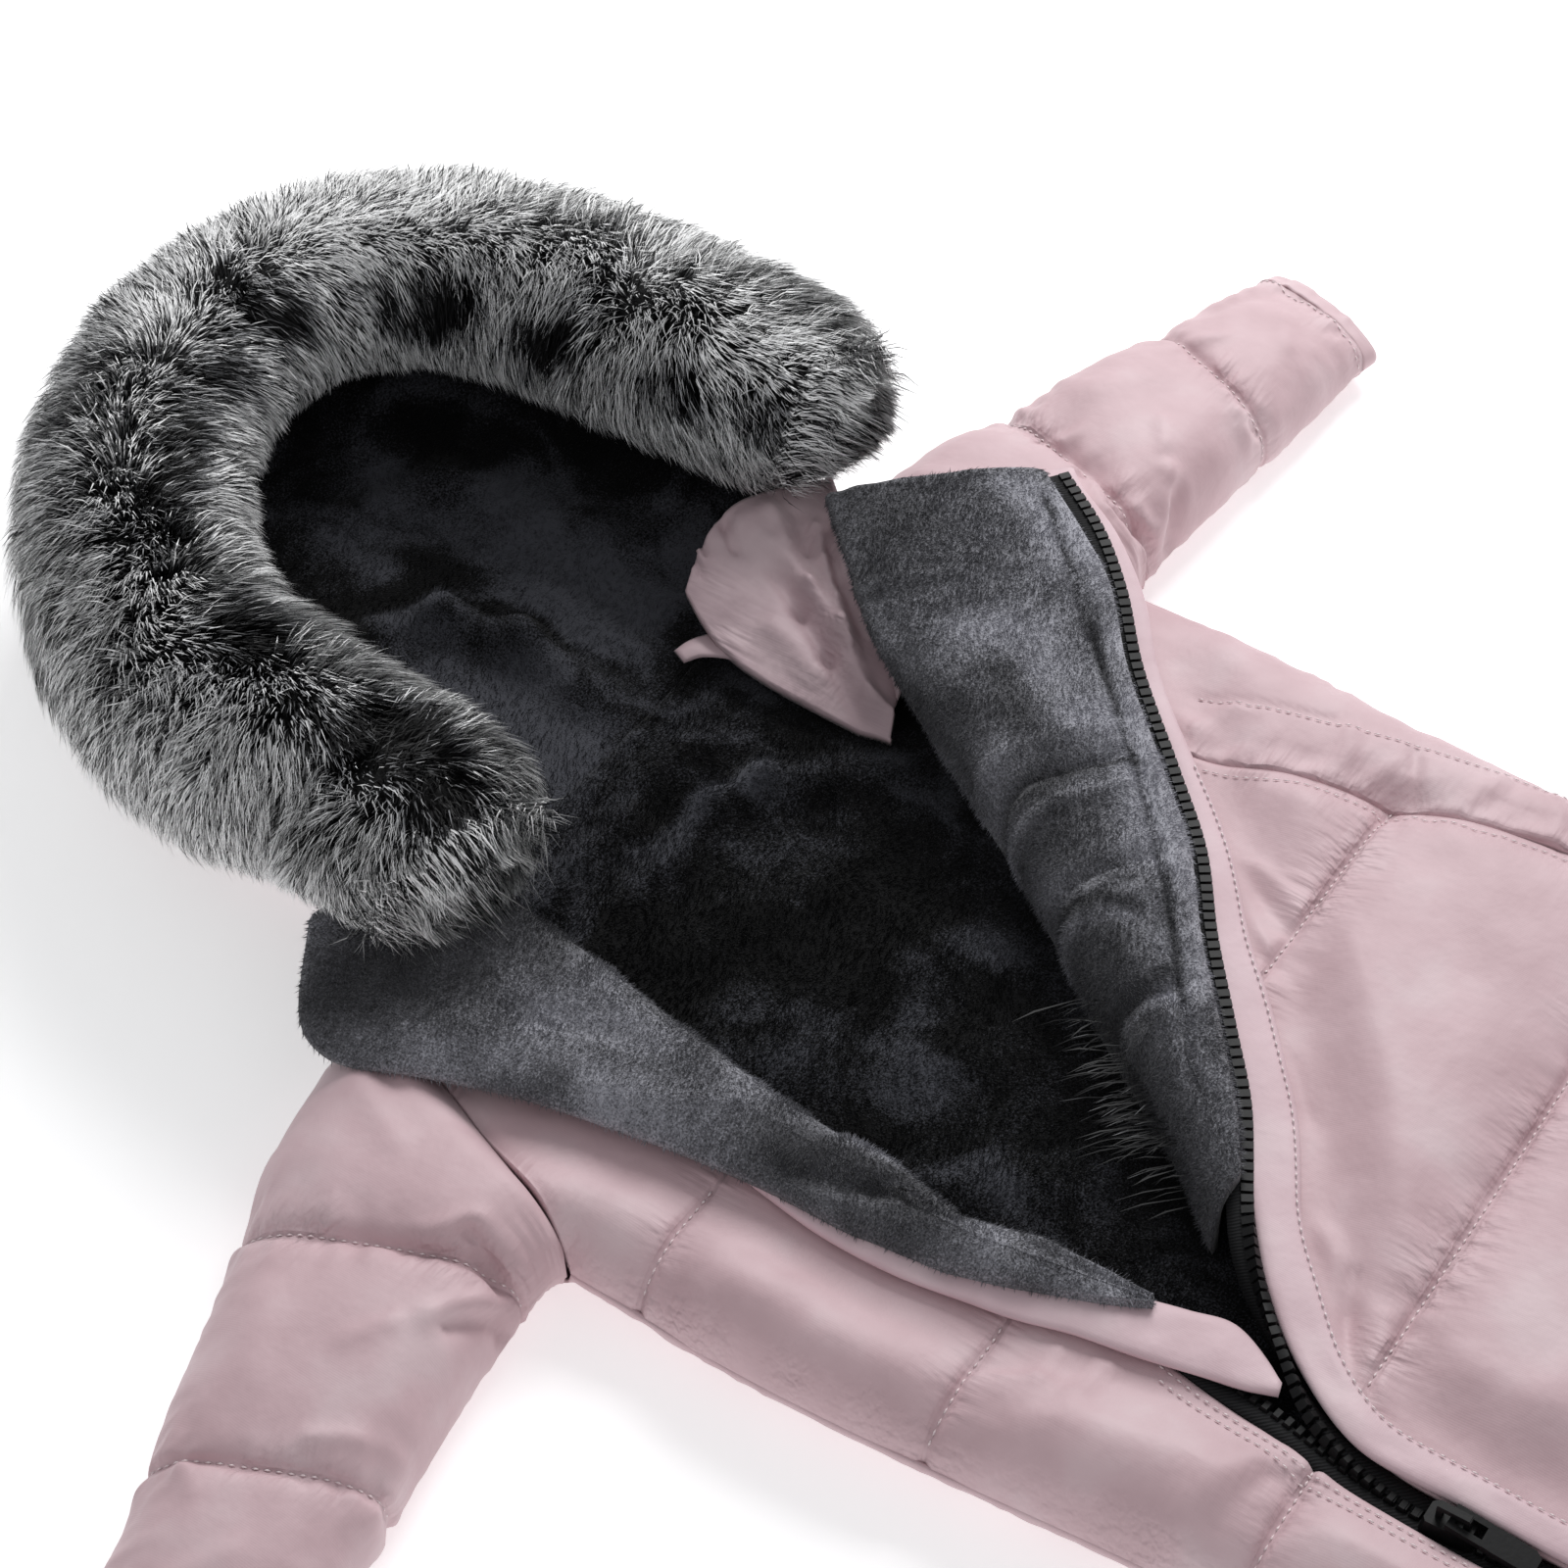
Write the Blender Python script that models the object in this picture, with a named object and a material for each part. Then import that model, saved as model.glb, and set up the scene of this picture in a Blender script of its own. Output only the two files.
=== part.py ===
"""A baby bunting bag that lies open on its back: quilted nylon, plush lining, fur-trimmed hood.

Lengths here are millimetres, and MM turns them into metres where a mesh is made. X runs to the
wearer's left, Y towards the head, Z up. The origin is on the flat underside, between the armpits.
Cloth is a wall between an outer and an inner grid of points that share their rows and columns.
"""

import math

import bmesh
import bpy
import numpy as np

MM = 0.001
SEAM_GAP = 0.3

# Body in plan: the side line runs from the bottom seam to the armpit, the armhole is straight.
ARMPIT_Y = 0.0
SHOULDER_Y = 104.0
SHOULDER_X = 128.0
SHOULDER_RISE = 0.3125
RIGHT_NECK_X = -80.0
LEFT_NECK_X = 100.0
NECK_DIP = 6.0
# columns: y, the wearer's right half width, left half width
SIDE_LINE = (
    (-500, 98, 98), (-496, 112, 112), (-488, 125, 125), (-474, 137, 137), (-450, 148, 148),
    (-410, 156, 155), (-340, 163, 157), (-250, 166, 158), (-190, 168, 160), (-120, 173, 164),
    (-60, 175, 168), (0, 172, 172),
)
ARMPIT_X = 172.0

# Heights of the layers over the floor.
SIDE_SEAM_Z = 17.0
BACK_INNER_Z = 12.0
PLUSH = 4.0
FRONT_INNER_Z = 19.5
FRONT_FLAT_Z = 33.0
CROWN = 2.0
EDGE_RADIUS = 25.0
EDGE_WALL = 9.0

# Quilting: stitch lines across the body, with a puff between each two.
STITCH_PITCH = 98.0
FIRST_STITCH_Y = -25.0
PUFF = 9.0
PUFF_POWER = 3.2
PUFF_ROOM = 30.0
CALM_BORDER = 12.0
SEAM_DIP = 5.0
SEAM_DIP_REACH = 9.0
SIDE_STRIP_PUFF = 5.0
PLAIN_FROM_SEAM = 12.0

# The zip runs down the wearer's right: columns y, x of its middle.
ZIP_LINE = ((-445, -112), (-380, -119), (-320, -122), (-262, -121), (-227, -118))
ZIP_END_Y = -446.0
TAPE = 1.2
TAPE_Z = 31.1
SLIDER_Y = -262.0

# columns: y, x of the front panels' edges at the opening and of the left princess seam
RIGHT_EDGE = (
    (-500, -88.2), (-490, -98.2), (-478, -104.2), (-462, -108.6), (-452, -110.7), (-445, -119), (-380, -126),
    (-320, -129), (-262, -128), (-235, -126), (-205, -121), (-184, -118), (-158, -113),
    (-125, -112), (-93, -114), (-61, -108), (-13, -104), (43, -92), (90, -87), (104, -86),
)
LEFT_EDGE = (
    (-500, -87.8), (-490, -97.8), (-478, -103.8), (-462, -108.2), (-452, -110.3), (-445, -105), (-380, -112),
    (-320, -115), (-262, -114), (-237, -112), (-215, -102), (-195, -88), (-172, -70),
    (-153, -52), (-140, -39), (-116, -20), (-82, 5), (-54, 28), (-23, 50), (10, 68),
    (29, 77), (42, 84), (65, 98), (80, 109),
)
PRINCESS_SEAM = (
    (-500, 88), (-478, 108), (-440, 116), (-400, 122), (-300, 128), (-186, 128), (-120, 119),
    (-84, 109), (-52, 101), (0, 100), (50, 108), (75, 114), (104, 116),
)

# The lapel: the left front folded back. The teeth line goes on down the closed zip.
# columns: fold x, fold y, fold's lower edge z, teeth x, teeth y, top of the layers under it, top
LAPEL = (
    (127, 99, 48.0, 186, 41, 49.2, 58), (105, 76, 46.0, 167, 15, 48.6, 57.5),
    (81, 51, 42.0, 148, -4, 47.0, 56), (66, 22, 30.0, 122, -25, 43.5, 53),
    (42, -23, 17.5, 88, -58, 41.0, 51), (19, -54, 17.5, 61, -83, 40.7, 51),
    (-4, -82, 17.5, 30, -104, 40.7, 50), (-29, -116, 17.5, 1, -126, 40.7, 49),
    (-47, -140, 17.5, -26, -146, 40.7, 47), (-58, -151, 17.5, -40, -154, 40.7, 46),
    (-64, -157, 19.0, -47, -157.5, 40.7, 45),
)
TAPE_SHOWN = 7.0
# columns: teeth x, teeth y, base under the placket, placket's inner and outer edge from the teeth
PLACKET = (
    (189, 44, 44.5, -8, 6), (186, 41, 44.5, -8, 6), (167, 15, 43.9, -8, 7), (148, -4, 42.3, -8, 8),
    (122, -25, 38.8, -8, 8), (88, -58, 36.5, -8, 9), (61, -83, 36.2, -8, 11),
    (30, -104, 36.1, -8, 13), (1, -126, 36.1, -8, 15), (-26, -146, 36.4, -6, 16),
    (-42, -155, 36.4, -3, 16), (-55, -162, 36.4, 1, 16), (-82, -182, 36.2, 2, 17),
    (-101, -200, 36.1, 3.6, 17), (-118, -227, 36.1, 5, 18), (-121, -262, 36.1, 6, 18), (-122, -320, 36.1, 6, 18),
    (-119, -380, 36.1, 6, 18), (-112, -445, 36.1, 6, 18), (-110.5, -453, 36.1, 6, 16),
)
PLACKET_WALL = 2.4
# columns: teeth x, teeth y, z, width, turn in degrees from the lapel's side through down
LEFT_TAPE = (
    (186, 41, 48.2, 8, 0), (167, 15, 47.6, 8, 0), (148, -4, 46.0, 8, 0), (122, -25, 42.5, 8, 0),
    (88, -58, 40.1, 8, 0), (61, -83, 39.8, 8, 0), (30, -104, 39.7, 8, 0), (1, -126, 39.7, 8, 0),
    (-26, -146, 39.7, 8, 0), (-42, -155, 39.7, 7, 0), (-55, -162, 39.7, 6, 0), (-69, -171, 39.7, 6.5, 38),
    (-84, -183, 39.7, 7, 72), (-98, -197, 39.2, 7, 105), (-110, -212, 36.5, 6.5, 140),
    (-116.5, -228, 33.5, 6.2, 170), (-119.6, -244, 31.6, 6.2, 180), (-120.6, -262, 31.1, 6.2, 180),
    (-121.6, -320, 31.1, 6.2, 180), (-118.6, -380, 31.1, 6.2, 180), (-111.7, -444, 31.1, 6.2, 180),
)

# The right front's plush facing, rolled outwards: same columns as the lapel, without its teeth.
# columns: fold x, fold y, fold's lower edge z, outer edge x, outer edge y, base, top
RIGHT_FACING = (
    (-78, 113, 44.0, -122, 134, 44.0, 51.5), (-80, 100, 38.0, -154, 113, 44.0, 51.5),
    (-80, 88, 24.0, -162, 98, 44.0, 51.5), (-83, 66, 17.5, -152, 68, 43.0, 51.0),
    (-86, 43, 17.5, -142, 42, 41.0, 50.0), (-92, 14, 17.5, -135, 12, 39.2, 49.0),
    (-97, -13, 17.5, -131, -15, 39.0, 48.5), (-100, -38, 17.5, -129, -42, 39.0, 48.0),
    (-101, -66, 17.5, -129, -72, 39.0, 48.0), (-106, -93, 18.0, -126, -99, 39.0, 47.0),
    (-104, -125, 39.2, -119, -124, 39.0, 46.0), (-102, -145, 39.3, -110, -147, 39.0, 44.5),
    (-101, -156, 39.3, -106, -158, 39.0, 43.5),
)
# columns: outer x, outer y, inner x, inner y
RIGHT_BAND = (
    (-127, -29, -122, -30), (-133, -66, -124, -66), (-133, -89, -122, -90), (-130, -111, -115, -110),
    (-128, -124, -110, -126), (-123, -143, -103, -146), (-120, -162, -98, -166),
    (-116, -180, -95, -181), (-113, -194, -101, -194), (-110, -202, -106, -201),
)
BAND_Z = 36.2
BAND_WALL = 2.5

# The hood's rim and the fur trim round it, from the wearer's right, over the crown, to the left.
RIM = (
    (-88, 124), (-84, 145), (-83, 175), (-75, 215), (-52, 258), (-12, 293), (35, 314),
    (80, 317), (120, 301), (144, 268), (154, 222), (154, 178), (151, 145), (146, 121),
)
RIM_Z = 28.0
HOOD_BOWL = 58.0
HOOD_WALL = 10.0
CROWN_FROM, CROWN_TO = 0.40, 0.60
HOOD_SEAMS = (0.0, 0.34, 0.66, 1.0)
FUR_PATH = (
    (-97, 86), (-88, 122), (-83, 172), (-75, 215), (-52, 258), (-12, 295), (35, 317),
    (80, 320), (121, 303), (146, 268), (155, 222), (155, 178), (153, 140), (152, 106),
)
# columns: share of the path, reach inwards, reach outwards, lowest z inside, outside, top z
FUR = (
    (0.00, 20, 24, 57.0, 57.0, 76), (0.02, 39, 38, 53.0, 53.0, 88), (0.06, 48, 47, 52.5, 52.5, 97),
    (0.10, 47, 45, 50.5, 46.0, 97), (0.15, 49, 44, 46.0, 28.0, 99), (0.25, 47, 42, 43.5, 15.0, 100),
    (0.40, 46, 42, 43.5, 12.0, 100), (0.55, 47, 43, 43.5, 12.0, 100), (0.70, 49, 45, 43.5, 14.0, 101),
    (0.84, 51, 48, 43.5, 18.0, 100), (0.93, 49, 45, 45.0, 36.0, 98), (0.98, 40, 36, 46.0, 46.0, 90),
    (1.00, 22, 20, 52.0, 52.0, 80),
)
# columns: side (1 outwards, -1 inwards), share of that side's reach, share of its height
FUR_SECTION = (
    (1, 0.05, 0.20), (1, 0.28, 0.00), (1, 0.62, 0.06), (1, 0.88, 0.25), (1, 1.00, 0.50),
    (1, 0.90, 0.76), (1, 0.60, 0.93), (1, 0.15, 1.00), (-1, 0.30, 0.98), (-1, 0.70, 0.85),
    (-1, 0.95, 0.60), (-1, 0.97, 0.35), (-1, 0.78, 0.12), (-1, 0.40, 0.00), (1, 0.04, 0.02),
)

# Sleeves, for the wearer's left; the right one is mirrored.
# columns: overarm x, overarm y, underarm x, underarm y, top z, seam z, right sleeve's shift down
SLEEVE = (
    (128.5, 104, 172.5, 1, 36, 17, 0), (143, 105, 174, 2, 42, 17, 0),
    (160, 105, 177, 3, 44, 17, 0), (193, 99, 183, 4, 44, 16.5, 1), (212, 91, 187, 5, 39, 16, 2),
    (222, 87, 190, 5, 32, 16, 2), (232, 86, 199, 5, 38, 15.5, 3), (252, 81, 219, 4, 41, 15, 4),
    (276, 74, 246, 2, 39, 14.5, 6), (290, 69, 260, 1, 34, 14, 7), (298, 65, 268, 0, 28, 13.5, 7),
    (306, 64, 277, -1, 33, 13, 8), (325, 60, 303, -3, 33, 12.5, 8), (344, 55, 325, -4, 29, 12, 8),
    (356, 52, 337, -5, 24, 11.5, 8),
)
SLEEVE_TOP = (0.03, 0.10, 0.21, 0.38, 0.62, 0.79, 0.90, 0.97)
SLEEVE_UNDER = (0.95, 0.84, 0.68, 0.32, 0.16, 0.05)
SLEEVE_HOLLOW = 3.4
SLEEVE_WALL = 8.0
CUFF_LENGTH = 8.0
CUFF_DROP = 2.5

# Neck guard: columns left x, left y, left z, right x, right y, right z
NECK_GUARD = (
    (65, 36, 21, 78, 41, 26), (63, 50, 22, 87, 51, 31), (62, 66, 24, 97, 66, 35),
    (62, 83, 26, 108, 81, 37.5), (64, 100, 28, 122, 94, 39), (70, 116, 32, 135, 104, 42),
    (76, 126, 35, 143, 112, 43),
)
GUARD_WALL = 3.0
GUARD_CRUMPLE = 2.2

LINING_END_Y = -226.0
LINING_UNDER = 16.0
# Folds of the plush lining in the open front: columns x, y, x, y, height, half width
LINING_FOLDS = (
    (-28, 60, 70, 10, 5.0, 11), (-62, 72, -20, 74, 3.5, 9), (-30, 96, 18, 80, 3.5, 10),
    (-70, -20, -30, -60, 2.5, 12), (-88, -70, -62, -110, 2.0, 10),
)

PULL_TAB_LENGTH = 26.0
PULL_TAB_DROOP = math.radians(7)


# ---------------------------------------------------------------- small tools


def smooth(rows, at):
    """The value columns of a table at positions along its first column, on a smooth curve."""
    rows = np.asarray(rows, float)
    rows = rows[np.argsort(rows[:, 0], kind="stable")]
    knots, values = rows[:, 0], rows[:, 1:]
    slopes = np.gradient(values, knots, axis=0)
    at = np.clip(np.asarray(at, float), knots[0], knots[-1])
    i = np.clip(np.searchsorted(knots, at, side="right") - 1, 0, len(knots) - 2)
    span = (knots[i + 1] - knots[i])[..., None]
    f = (at - knots[i])[..., None] / span
    near = (1 + 2 * f) * (1 - f) ** 2 * values[i] + f * (1 - f) ** 2 * span * slopes[i]
    far = f * f * (3 - 2 * f) * values[i + 1] - f * f * (1 - f) * span * slopes[i + 1]
    return near + far


def column(rows, at):
    """A two-column table's second column at the given positions."""
    return smooth(rows, at)[..., 0]


def way_shares(points):
    """How far along a plan path each of its points is, from 0 to 1."""
    steps = np.linalg.norm(np.diff(np.asarray(points, float)[:, :2], axis=0), axis=1)
    way = np.concatenate([[0], np.cumsum(steps)])
    return way / way[-1]


def along(points, shares):
    """Points at shares of the way along a smooth path through the given ones."""
    return smooth(np.column_stack([way_shares(points), np.asarray(points, float)]), shares)


def side_normals(plan):
    """Unit vectors to the left of the way along a plan path."""
    way = np.gradient(plan[:, :2], axis=0)
    way /= np.linalg.norm(way, axis=1)[:, None]
    return np.column_stack([-way[:, 1], way[:, 0]])


def distance_to(path, x, y):
    """How far each plan point is from a polyline, and the unit direction away from it."""
    path = np.asarray(path, float)[:, :2]
    spot = np.stack([np.ravel(x), np.ravel(y)], axis=1)
    start, step = path[:-1], np.diff(path, axis=0)
    share = ((spot[:, None] - start) * step).sum(2) / (step * step).sum(1)
    foot = start + np.clip(share, 0, 1)[..., None] * step
    offset = spot[:, None] - foot
    gap = np.linalg.norm(offset, axis=2)
    best = gap.argmin(1)
    rows = np.arange(len(spot))
    away = offset[rows, best] / np.maximum(gap[rows, best], 1e-9)[:, None]
    return gap[rows, best].reshape(np.shape(x)), away.reshape(np.shape(x) + (2,))


def inside(polygon, x, y):
    """Which plan points lie inside a closed outline."""
    polygon = np.asarray(polygon, float)
    x0, y0 = polygon[:, 0], polygon[:, 1]
    x1, y1 = np.roll(x0, -1), np.roll(y0, -1)
    px, py = np.ravel(x)[:, None], np.ravel(y)[:, None]
    spans = (y0 > py) != (y1 > py)
    rise = np.where(y1 == y0, 1.0, y1 - y0)
    crossing = x0 + (py - y0) * (x1 - x0) / rise
    return ((spans & (px < crossing)).sum(1) % 2 == 1).reshape(np.shape(x))


def ease(value):
    value = np.clip(value, 0, 1)
    return value * value * (3 - 2 * value)


def finish(name, colour, roughness):
    """A plain material with the piece's own colour."""
    material = bpy.data.materials.new(name)
    material.use_nodes = True
    shader = material.node_tree.nodes["Principled BSDF"]
    linear = [((c / 255 + 0.055) / 1.055) ** 2.4 for c in bytes.fromhex(colour)]
    shader.inputs["Base Color"].default_value = (*linear, 1)
    shader.inputs["Roughness"].default_value = roughness
    shader.inputs["Metallic"].default_value = 0
    material.diffuse_color = (*linear, 1)
    return material


def solid(name, points, faces, material):
    """One named object from points in millimetres, with its faces turned outwards."""
    mesh = bpy.data.meshes.new(name)
    mesh.from_pydata((np.asarray(points) * MM).tolist(), [], faces)
    shell = bmesh.new()
    shell.from_mesh(mesh)
    bmesh.ops.triangulate(shell, faces=shell.faces)
    bmesh.ops.recalc_face_normals(shell, faces=shell.faces)
    shell.to_mesh(mesh)
    shell.free()
    mesh.materials.append(material)
    mesh.shade_smooth()
    mesh.set_sharp_from_angle(angle=math.radians(50))
    piece = bpy.data.objects.new(name, mesh)
    bpy.context.scene.collection.objects.link(piece)
    return piece


def wall(name, outer, inner, material, ring=False):
    """A closed cloth wall between two grids. A ring's rows close on themselves."""
    outer, inner = np.asarray(outer, float), np.asarray(inner, float)
    across, down = outer.shape[:2]
    count = across * down
    index = np.arange(count).reshape(across, down)
    turns = across if ring else across - 1
    faces = []
    for i in range(turns):
        n = (i + 1) % across
        for j in range(down - 1):
            quad = (index[i, j], index[n, j], index[n, j + 1], index[i, j + 1])
            faces.append(quad)
            faces.append(tuple(k + count for k in reversed(quad)))
        for j in (0, down - 1):
            faces.append((index[i, j], index[n, j], index[n, j] + count, index[i, j] + count))
    if not ring:
        for i in (0, across - 1):
            for j in range(down - 1):
                a, b = index[i, j], index[i, j + 1]
                faces.append((a, b, b + count, a + count))
    faces = [tuple(int(k) for k in face) for face in faces]
    points = np.concatenate([outer.reshape(-1, 3), inner.reshape(-1, 3)])
    return solid(name, points, faces, material)


# ---------------------------------------------------------------- the body


def half_width(y, side):
    """Half the body's width on one side: the side line, then the armhole line over the armpit."""
    y = np.asarray(y, float)
    armhole = ARMPIT_X - (ARMPIT_X - SHOULDER_X) * y / SHOULDER_Y
    line = smooth(SIDE_LINE, y)[..., 0 if side < 0 else 1]
    return np.where(y > ARMPIT_Y, armhole - SEAM_GAP / 2, line)


def shoulder_lift(x, y):
    """How far a row near the shoulder is carried up towards the neck."""
    ramp = ease((np.asarray(y, float) - 55) / (SHOULDER_Y - 55))
    return ramp * SHOULDER_RISE * np.maximum(SHOULDER_X - np.abs(x), 0)


def channel_rows(shares):
    """Row positions through every quilted channel between the bottom and the shoulder."""
    lines = [FIRST_STITCH_Y + STITCH_PITCH * k for k in range(-4, 2)]
    rows = [low + STITCH_PITCH * share for low in lines[:-1] for share in shares]
    return rows + [lines[-1]]


BOTTOM_ROWS = [-500, -498, -493, -485, -472, -452, ZIP_END_Y, -434]
SHOULDER_ROWS = [80, 90, 97, 102, 104]
FRONT_ROWS = np.array(BOTTOM_ROWS + channel_rows((0, 0.12, 0.35, 0.65, 0.88)) + SHOULDER_ROWS)
BACK_ROWS = np.array(BOTTOM_ROWS + channel_rows((0, 0.5)) + [0] + SHOULDER_ROWS)
BACK_ROWS.sort()


def rounded_outline(rows):
    """The stretches of the body's outline that round down to the side seam."""
    low = rows[rows <= ARMPIT_Y]
    ring = [(-half_width(y, -1), y) for y in low[::-1]]
    ring += [(half_width(y, 1), y) for y in low]
    shoulder = [(SHOULDER_X, SHOULDER_Y), (LEFT_NECK_X, SHOULDER_Y + 8.75)]
    other = [(-SHOULDER_X, SHOULDER_Y), (RIGHT_NECK_X, SHOULDER_Y + 15)]
    return ring, shoulder, other


def edge_profile(rows, x, y):
    """For each point: how far it is round the edge, from 1 on the outline to 0, and the way in."""
    gaps, ways = [], []
    for path in rounded_outline(rows):
        gap, away = distance_to(path, x, y)
        gaps.append(gap)
        ways.append(away)
    best = np.argmin(gaps, axis=0)
    gap = np.min(gaps, axis=0)
    way = np.choose(best[..., None], ways)
    on_line = gap < 0.01
    middle = np.stack([-np.sign(x) * np.ones_like(x), np.zeros_like(x)], axis=-1)
    low_row = np.asarray(y) <= rows[0] + 0.01
    middle[low_row] = (0, 1)
    high_row = np.asarray(y) >= SHOULDER_Y - 0.01
    middle[high_row] = (0, -1)
    way = np.where(on_line[..., None], middle, way)
    turn = np.clip(1 - gap / EDGE_RADIUS, 0, 1)
    return turn, np.sqrt(1 - turn**2), way


def quilting(y):
    """0 on a stitch line, 1 in the middle of a channel."""
    share = ((np.asarray(y, float) - FIRST_STITCH_Y) / STITCH_PITCH) % 1
    return 1 - np.abs(2 * share - 1) ** PUFF_POWER


def strip_outline(table, inner, outer):
    """A closed plan outline from two offsets of a path."""
    path = np.asarray(table, float)
    side = side_normals(path)
    return np.vstack([path[:, :2] + side * inner[:, None], (path[:, :2] + side * outer[:, None])[::-1]])


def covered_outlines():
    """Plan outlines of what lies on the fronts: lapel with placket, rolled facing, closed zip."""
    lapel = np.asarray(LAPEL, float)
    placket = np.asarray(PLACKET, float)
    left = np.vstack([lapel[:, :2], lapel[::-1, 3:5]])
    strip = strip_outline(placket, placket[:, 3], placket[:, 4])
    facing = np.asarray(RIGHT_FACING, float)
    right = np.vstack([facing[:, :2], facing[::-1, 3:5]])
    band = np.asarray(RIGHT_BAND, float)
    pink = np.vstack([band[:, :2], band[::-1, 2:]])
    return left, strip, right, pink


def room_for_puffs(x, y):
    """0 under the folded layers, growing to 1 away from them."""
    room = np.full(np.shape(x), PUFF_ROOM)
    for outline in covered_outlines():
        gap, _ = distance_to(np.vstack([outline, outline[:1]]), x, y)
        room = np.minimum(room, np.where(inside(outline, x, y), 0, gap))
    return ease((room - CALM_BORDER) / (PUFF_ROOM - CALM_BORDER))


def front_top(x, y, quilted=True):
    """Height of a front's outer cloth before its edge rounds down."""
    flat = FRONT_FLAT_Z + CROWN * (1 - (x / ARMPIT_X) ** 2)
    from_seam = np.abs(x - column(PRINCESS_SEAM, y))
    dip = SEAM_DIP * np.exp(-((from_seam / SEAM_DIP_REACH) ** 2))
    height = PUFF * quilting(y)
    if not quilted:
        height += (SIDE_STRIP_PUFF - height) * ease(from_seam / PLAIN_FROM_SEAM)
    return flat + (height - dip) * room_for_puffs(x, y)


def princess_gap(y):
    """Half the gap across the slanting princess seam, as a step in x."""
    slope = (column(PRINCESS_SEAM, np.asarray(y) + 1) - column(PRINCESS_SEAM, np.asarray(y) - 1)) / 2
    return SEAM_GAP / 2 * np.hypot(1, slope)


def on_seams(x, y):
    """Moves points that are beside a plain seam onto it, so both panels round alike there."""
    zip_seam = (column(RIGHT_EDGE, y) + column(LEFT_EDGE, y)) / 2
    for seam in (zip_seam, column(PRINCESS_SEAM, y)):
        x = np.where(np.abs(x - seam) < 2 * SEAM_GAP, seam, x)
    return x


def front_piece(name, rows, left, right, shares, material, quilted=True):
    """One front panel between two edges, each a function of y."""
    y = np.broadcast_to(rows, (len(shares), len(rows)))
    x = left(rows) + (right(rows) - left(rows)) * np.asarray(shares)[:, None]
    y = y + shoulder_lift(x, y)
    level = np.broadcast_to(rows, x.shape)
    probe = on_seams(x, level)
    turn, rise, way = edge_profile(FRONT_ROWS, probe, level)
    seam = SIDE_SEAM_Z + SEAM_GAP / 2
    top = seam + (front_top(probe, level, quilted) - seam) * rise
    shift = way * (EDGE_WALL * turn)[..., None]
    low = seam + (FRONT_INNER_Z - seam) * rise
    outer = np.stack([x, y, top], axis=-1)
    inner = np.stack([x + shift[..., 0], y + shift[..., 1], low], axis=-1)
    return wall(name, outer, inner, material)


def fronts(nylon):
    front_piece(
        "front_right", FRONT_ROWS, lambda y: -half_width(y, -1), lambda y: column(RIGHT_EDGE, y),
        (0, 0.03, 0.14, 0.36, 0.66, 1), nylon,
    )
    low_rows = FRONT_ROWS[FRONT_ROWS <= 80]
    front_piece(
        "front_left", low_rows, lambda y: column(LEFT_EDGE, y),
        lambda y: column(PRINCESS_SEAM, y) - princess_gap(y),
        (0, 0.05, 0.17, 0.33, 0.5, 0.67, 0.83, 0.95, 1), nylon,
    )
    front_piece(
        "side_left", FRONT_ROWS, lambda y: column(PRINCESS_SEAM, y) + princess_gap(y),
        lambda y: half_width(y, 1),
        (0, 0.18, 0.45, 0.7, 0.88, 0.97, 1), nylon, quilted=False,
    )


def neck_line(x):
    """The top edge of the back: two shoulders and the dipped neck between them."""
    share = np.clip((x - RIGHT_NECK_X) / (LEFT_NECK_X - RIGHT_NECK_X), 0, 1)
    neck = 15 + (8.75 - 15) * share - NECK_DIP * np.sin(math.pi * share)
    shoulder = SHOULDER_RISE * np.maximum(SHOULDER_X - np.abs(x), 0)
    between = (x > RIGHT_NECK_X) & (x < LEFT_NECK_X)
    return SHOULDER_Y + np.where(between, neck, shoulder)


def back(nylon):
    """The back: flat on the floor, rounding up to the side seams and the shoulders."""
    edge = (0, 0.006, 0.025, 0.07, 0.15)
    shares = np.array(edge + (0.3, 0.5, 0.7) + tuple(1 - e for e in reversed(edge)))
    rows = BACK_ROWS
    right, left = -half_width(rows, -1), half_width(rows, 1)
    x = right + (left - right) * shares[:, None]
    y = np.broadcast_to(rows, x.shape)
    ramp = ease((y - 40) / (SHOULDER_Y - 40))
    lifted = y + ramp * (neck_line(x) - SHOULDER_Y)
    turn, rise, way = edge_profile(rows, x, lifted)
    at_neck = (x > RIGHT_NECK_X - 25) & (x < LEFT_NECK_X) & (y > 60)
    turn = np.where(at_neck, turn * 0, turn)
    rise = np.where(at_neck, 1, rise)
    seam = SIDE_SEAM_Z - SEAM_GAP / 2
    low = seam * (1 - rise)
    high = seam - (seam - BACK_INNER_Z) * rise
    shift = way * (EDGE_WALL * turn)[..., None]
    outer = np.stack([x, lifted, low], axis=-1)
    inner = np.stack([x + shift[..., 0], lifted + shift[..., 1], high], axis=-1)
    wall("back_panel", outer, inner, nylon)


def fold_ridges(x, y, folds):
    """Soft ridges along straight lines, each fading towards its ends."""
    height = np.zeros(np.shape(x))
    for x0, y0, x1, y1, tall, reach in folds:
        gap, _ = distance_to(((x0, y0), (x1, y1)), x, y)
        height = np.maximum(height, tall * np.exp(-((gap / reach) ** 2)))
    return height


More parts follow.
